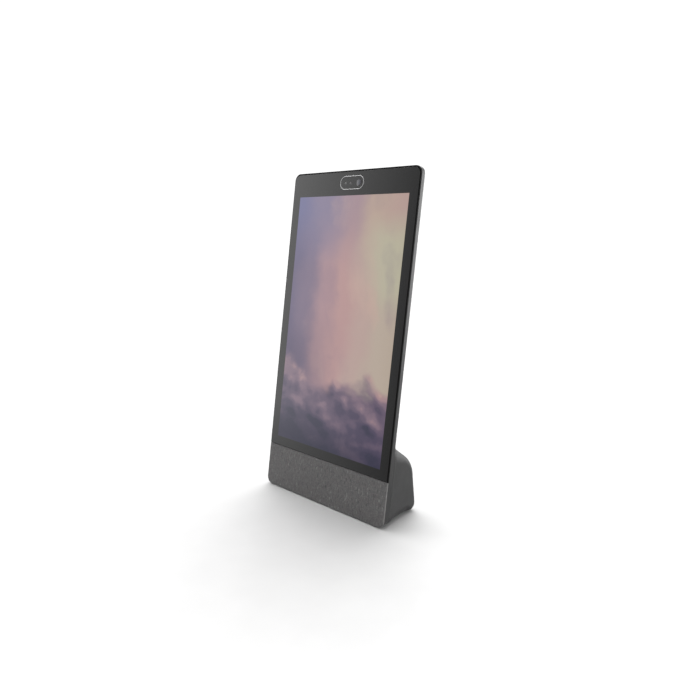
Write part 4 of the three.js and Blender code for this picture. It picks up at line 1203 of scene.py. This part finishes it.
combine(cover, [wall_mouth(notch, 0.35, -12), scoop()])
tidy(cover)
piece(cover, FOOT_GREY, body="cable_cover", nodes=["cable_cover"], angle=32)

# ---------------------------------------------------------------- sockets in the bay
def port_box(outline, y0, y1, r=0.3):
    return loft([facing(outline(-r), y0), facing(outline(0), y0 + r), facing(outline(0), y1 - r), facing(outline(-r), y1)])


ex, pz = PORTS["ethernet"], PORT_Z
jack = obj("network_socket", port_box(lambda g: rrect(ex - 8 - g, pz - 6.8 - g, ex + 8 + g, pz + 6.8 + g, 0.6, 4)[0], 40.6, TRAY_Y + 3.5), in_foot)
mouth = lambda x0, z0, x1, z1: obj("cut", loft([facing(rrect(x0, z0, x1, z1, 0.25, 3)[0], 42.5), facing(rrect(x0, z0, x1, z1, 0.25, 3)[0], 53.2), facing(rrect(x0 - 0.3, z0 - 0.3, x1 + 0.3, z1 + 0.3, 0.4, 3)[0], 53.55), facing(rrect(x0 - 0.3, z0 - 0.3, x1 + 0.3, z1 + 0.3, 0.4, 3)[0], 60)]), in_foot)
combine(jack, [mouth(ex - 5.9, pz - 4.4, ex + 5.9, pz + 3.2), mouth(ex - 3, pz - 5.6, ex + 3, pz - 4.2)])
jack.data.materials.append(SHIELD)
jack.data.materials.append(BLACK)
for p in jack.data.polygons:
    c = np.array(p.center) * 1000 + [0, Y0, 0]
    if abs(c[0] - ex) < 6.0 and pz - 5.7 < c[2] < pz + 3.3 and 42 < c[1] < 53.3:
        p.material_index = 1
shade(jack, 30)
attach(jack, "root"), jack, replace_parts(jack, "ethernet_jack")
verts, faces = [], []
for k in range(8):  # sprung contact wires, in the roof of the socket
    x = ex - 3.57 + k * 1.02
    path = [(52.0, pz + 3.05), (49.5, pz + 2.6), (45.0, pz + 1.2), (43.2, pz + 1.0)]
    for (ya, za), (yb, zb) in zip(path, path[1:]):
        o = len(verts)
        for y, z in ((ya, za), (yb, zb)):
            verts += [(x - 0.18, y, z), (x + 0.18, y, z), (x + 0.18, y, z + 0.16), (x - 0.18, y, z + 0.16)]
        faces += [(o, o + 1, o + 5, o + 4), (o + 1, o + 2, o + 6, o + 5), (o + 2, o + 3, o + 7, o + 6), (o + 3, o, o + 4, o + 7), (o + 3, o + 2, o + 1, o), (o + 4, o + 5, o + 6, o + 7)]
piece(obj("network_socket_contacts", (np.array(verts), faces), in_foot), GOLD, angle=30, weighted=False)

ux = PORTS["usb"]
shell = lambda g: rrect(ux - 4.7 - g, pz - 1.9 - g, ux + 4.7 + g, pz + 1.9 + g, 1.7 + g, 8)[0]
loops = [facing(shell(0), 40.6), facing(shell(0), 52.6), facing(shell(-0.08), 52.8), facing(shell(-0.32), 52.8), facing(shell(-0.4), 52.6), facing(shell(-0.4), 44.0)]
usb = obj("usb_c_socket", loft(loops), in_foot)
tongue = lambda g: rrect(ux - 3.3 - g, pz - 0.35 - g, ux + 3.3 + g, pz + 0.35 + g, 0.25, 3)[0]
combine(usb, [obj("cut", loft([facing(tongue(0), 43.2), facing(tongue(0), 51.2), facing(tongue(-0.1), 51.4)]), in_foot)], "UNION")
piece(usb, SHIELD, nodes=["usb_c_port"], angle=30)

px = PORTS["power"]
prof = [(0, 40.6), (4.9, 40.6), (4.9, 52.9), (4.7, 53.2), (3.6, 53.2), (3.3, 52.9), (3.3, 43.2), (1.0, 43.2), (1.0, 51.9), (0.8, 52.2), (0, 52.2)]
inlet = obj("power_socket", turn(prof, px, pz, 40), in_foot)
inlet.data.materials.append(BLACK)
inlet.data.materials.append(STEEL)
for p in inlet.data.polygons:
    c = np.array(p.center) * 1000 + [0, Y0, 0]
    if math.hypot(c[0] - px, c[2] - pz) < 1.05 and c[1] > 43.3:
        p.material_index = 1
shade(inlet, 35)
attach(inlet, "root"), inlet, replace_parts(inlet, "power_inlet")

# ---------------------------------------------------------------- CAD pieces that keep their shape
KEEP = {
    "lcd_panel": PANEL, "heat_spreader": GRAPHITE, "main_board": BOARD, "processor_shield": STEEL, "key_board": BOARD,
    "camera_module": BLACK, "camera_board": BOARD, "microphone_board_left": BOARD, "microphone_board_right": BOARD,
    "wifi_antenna_left": COPPER, "wifi_antenna_right": COPPER, "camera_flat_cable": DARK_FLEX, "key_flat_cable": FLEX,
    "main_flat_cable": FLEX, "grille_carrier": BLACK, "speaker_box": TRAY, "speaker_left_basket": STEEL,
    "speaker_right_basket": STEEL, "speaker_left_cone": CONE, "speaker_right_cone": CONE, "speaker_left_magnet": FERRITE,
    "speaker_right_magnet": FERRITE, "ballast_plate": BALLAST, "stand_bracket": STEEL, "bracket_screw_1": STEEL,
    "bracket_screw_2": STEEL, "bracket_screw_3": STEEL, "bracket_screw_4": STEEL, "port_tray": TRAY,
    "connector_board": BOARD, "lock_plate": STEEL,
}
for name, mat in KEEP.items():
    o = frame["nodes"][name]
    o.data.materials.clear()
    o.data.materials.append(mat)
    m = o.modifiers.new("soft_edges", "BEVEL")
    m.width, m.segments, m.limit_method, m.angle_limit = 0.00012, 2, "ANGLE", math.radians(50)
    m.use_clamp_overlap = True

# ---------------------------------------------------------------- stage, light and camera
floor_me = bpy.data.meshes.new("studio_floor")
floor_me.from_pydata([(-40, -40, 0), (40, -40, 0), (40, 40, 0), (-40, 40, 0)], [], [(0, 1, 2, 3)])
floor = bpy.data.objects.new("studio_floor", floor_me)
bpy.context.scene.collection.objects.link(floor)
g = Graph("PaleFloor")
g.set(Base_Color=g.mix(g.span(g.noise(g.mm, 0.02, 2, 0.5), 0.3, 0.7), (0.505, 0.505, 0.505), (0.52, 0.52, 0.52)), Roughness=1.0, Specular_IOR_Level=0.0)
floor_me.materials.append(g.mat)
floor.visible_glossy = False

world = bpy.data.worlds.new("Studio")
bpy.context.scene.world = world
world.use_nodes = True
nt = world.node_tree
nt.nodes.clear()


class Sky(Graph):
    def __init__(self, nt):
        self.nt = nt


k = Sky(nt)
wout = nt.nodes.new("ShaderNodeOutputWorld")
coord = nt.nodes.new("ShaderNodeTexCoord")
x, y, z = k.sep(k.vec("NORMALIZE", coord.outputs["Generated"]))
# an even tent, a broad soft source high behind the device, a softer one low on the front left whose
# brightness falls off towards the front, and a low one behind that only the round rear edges meet
tent = k.math("ADD", 0.38, k.math("MULTIPLY", k.math("MAXIMUM", z, 0.0), 0.36))
az, el = math.radians(-48), math.radians(53)
high_back = k.vec("DOT_PRODUCT", k.comb(x, y, z), (math.sin(az) * math.cos(el), math.cos(az) * math.cos(el), math.sin(el)))
tent = k.math("ADD", tent, k.span(high_back, 0.72, 0.98, 0.0, 6.6, True))
left = k.math("ARCTAN2", k.math("MULTIPLY", x, -1.0), k.math("MULTIPLY", y, -1.0))  # angle to the left of the front
rise = k.span(k.math("SUBTRACT", left, k.math("MULTIPLY", z, math.radians(5))), math.radians(35.4), math.radians(48.4), 0.0, 1.71)
fall = k.span(left, math.radians(70), math.radians(100), 1.0, 0.0, True)
tall = k.math("MULTIPLY", k.span(k.math("ABSOLUTE", z), 0.3, 0.6, 1.0, 0.0, True), k.span(z, -0.14, -0.07, 0.62, 1.0))
side = k.math("MULTIPLY", k.math("MULTIPLY", rise, fall), tall)
right = k.math("ARCTAN2", x, y)  # angle from the back towards the right
rim = k.math("MULTIPLY", k.span(k.math("ABSOLUTE", k.math("SUBTRACT", right, math.radians(28))), 0.58, 0.86, 1.0, 0.0, True), k.math("MULTIPLY", k.span(z, -0.27, -0.05, 0.0, 1.0, True), k.span(z, 0.2, 0.46, 4.0, 0.0, True)))
total = k.math("ADD", k.math("ADD", tent, side), rim)
path = nt.nodes.new("ShaderNodeLightPath")
level_ = k.lerp(path.outputs["Is Camera Ray"], total, 1.1)
bg = nt.nodes.new("ShaderNodeBackground")
bg.inputs["Color"].default_value = (1, 1, 1, 1)
nt.links.new(level_, bg.inputs["Strength"])
nt.links.new(bg.outputs[0], wout.inputs[0])

cam = bpy.data.cameras.new("camera")
cam.sensor_width, cam.lens = 36.0, 36.0 * 630.7 / 684
cam.clip_start, cam.clip_end = 0.01, 200
cam_ob = bpy.data.objects.new("camera", cam)
yaw, pitch = -0.756, 0.183
aim = Vector((math.sin(yaw) * math.cos(pitch), math.cos(yaw) * math.cos(pitch), -math.sin(pitch)))
cam_ob.location = (0.57636, -0.56695 - Y0 * 0.001, 0.37428 + LIFT * 0.001)
cam_ob.rotation_mode = "QUATERNION"
cam_ob.rotation_quaternion = aim.to_track_quat("-Z", "Y")
bpy.context.scene.collection.objects.link(cam_ob)
bpy.context.scene.camera = cam_ob
bpy.context.scene.view_settings.view_transform = "Standard"
bpy.context.scene.view_settings.look = "None"
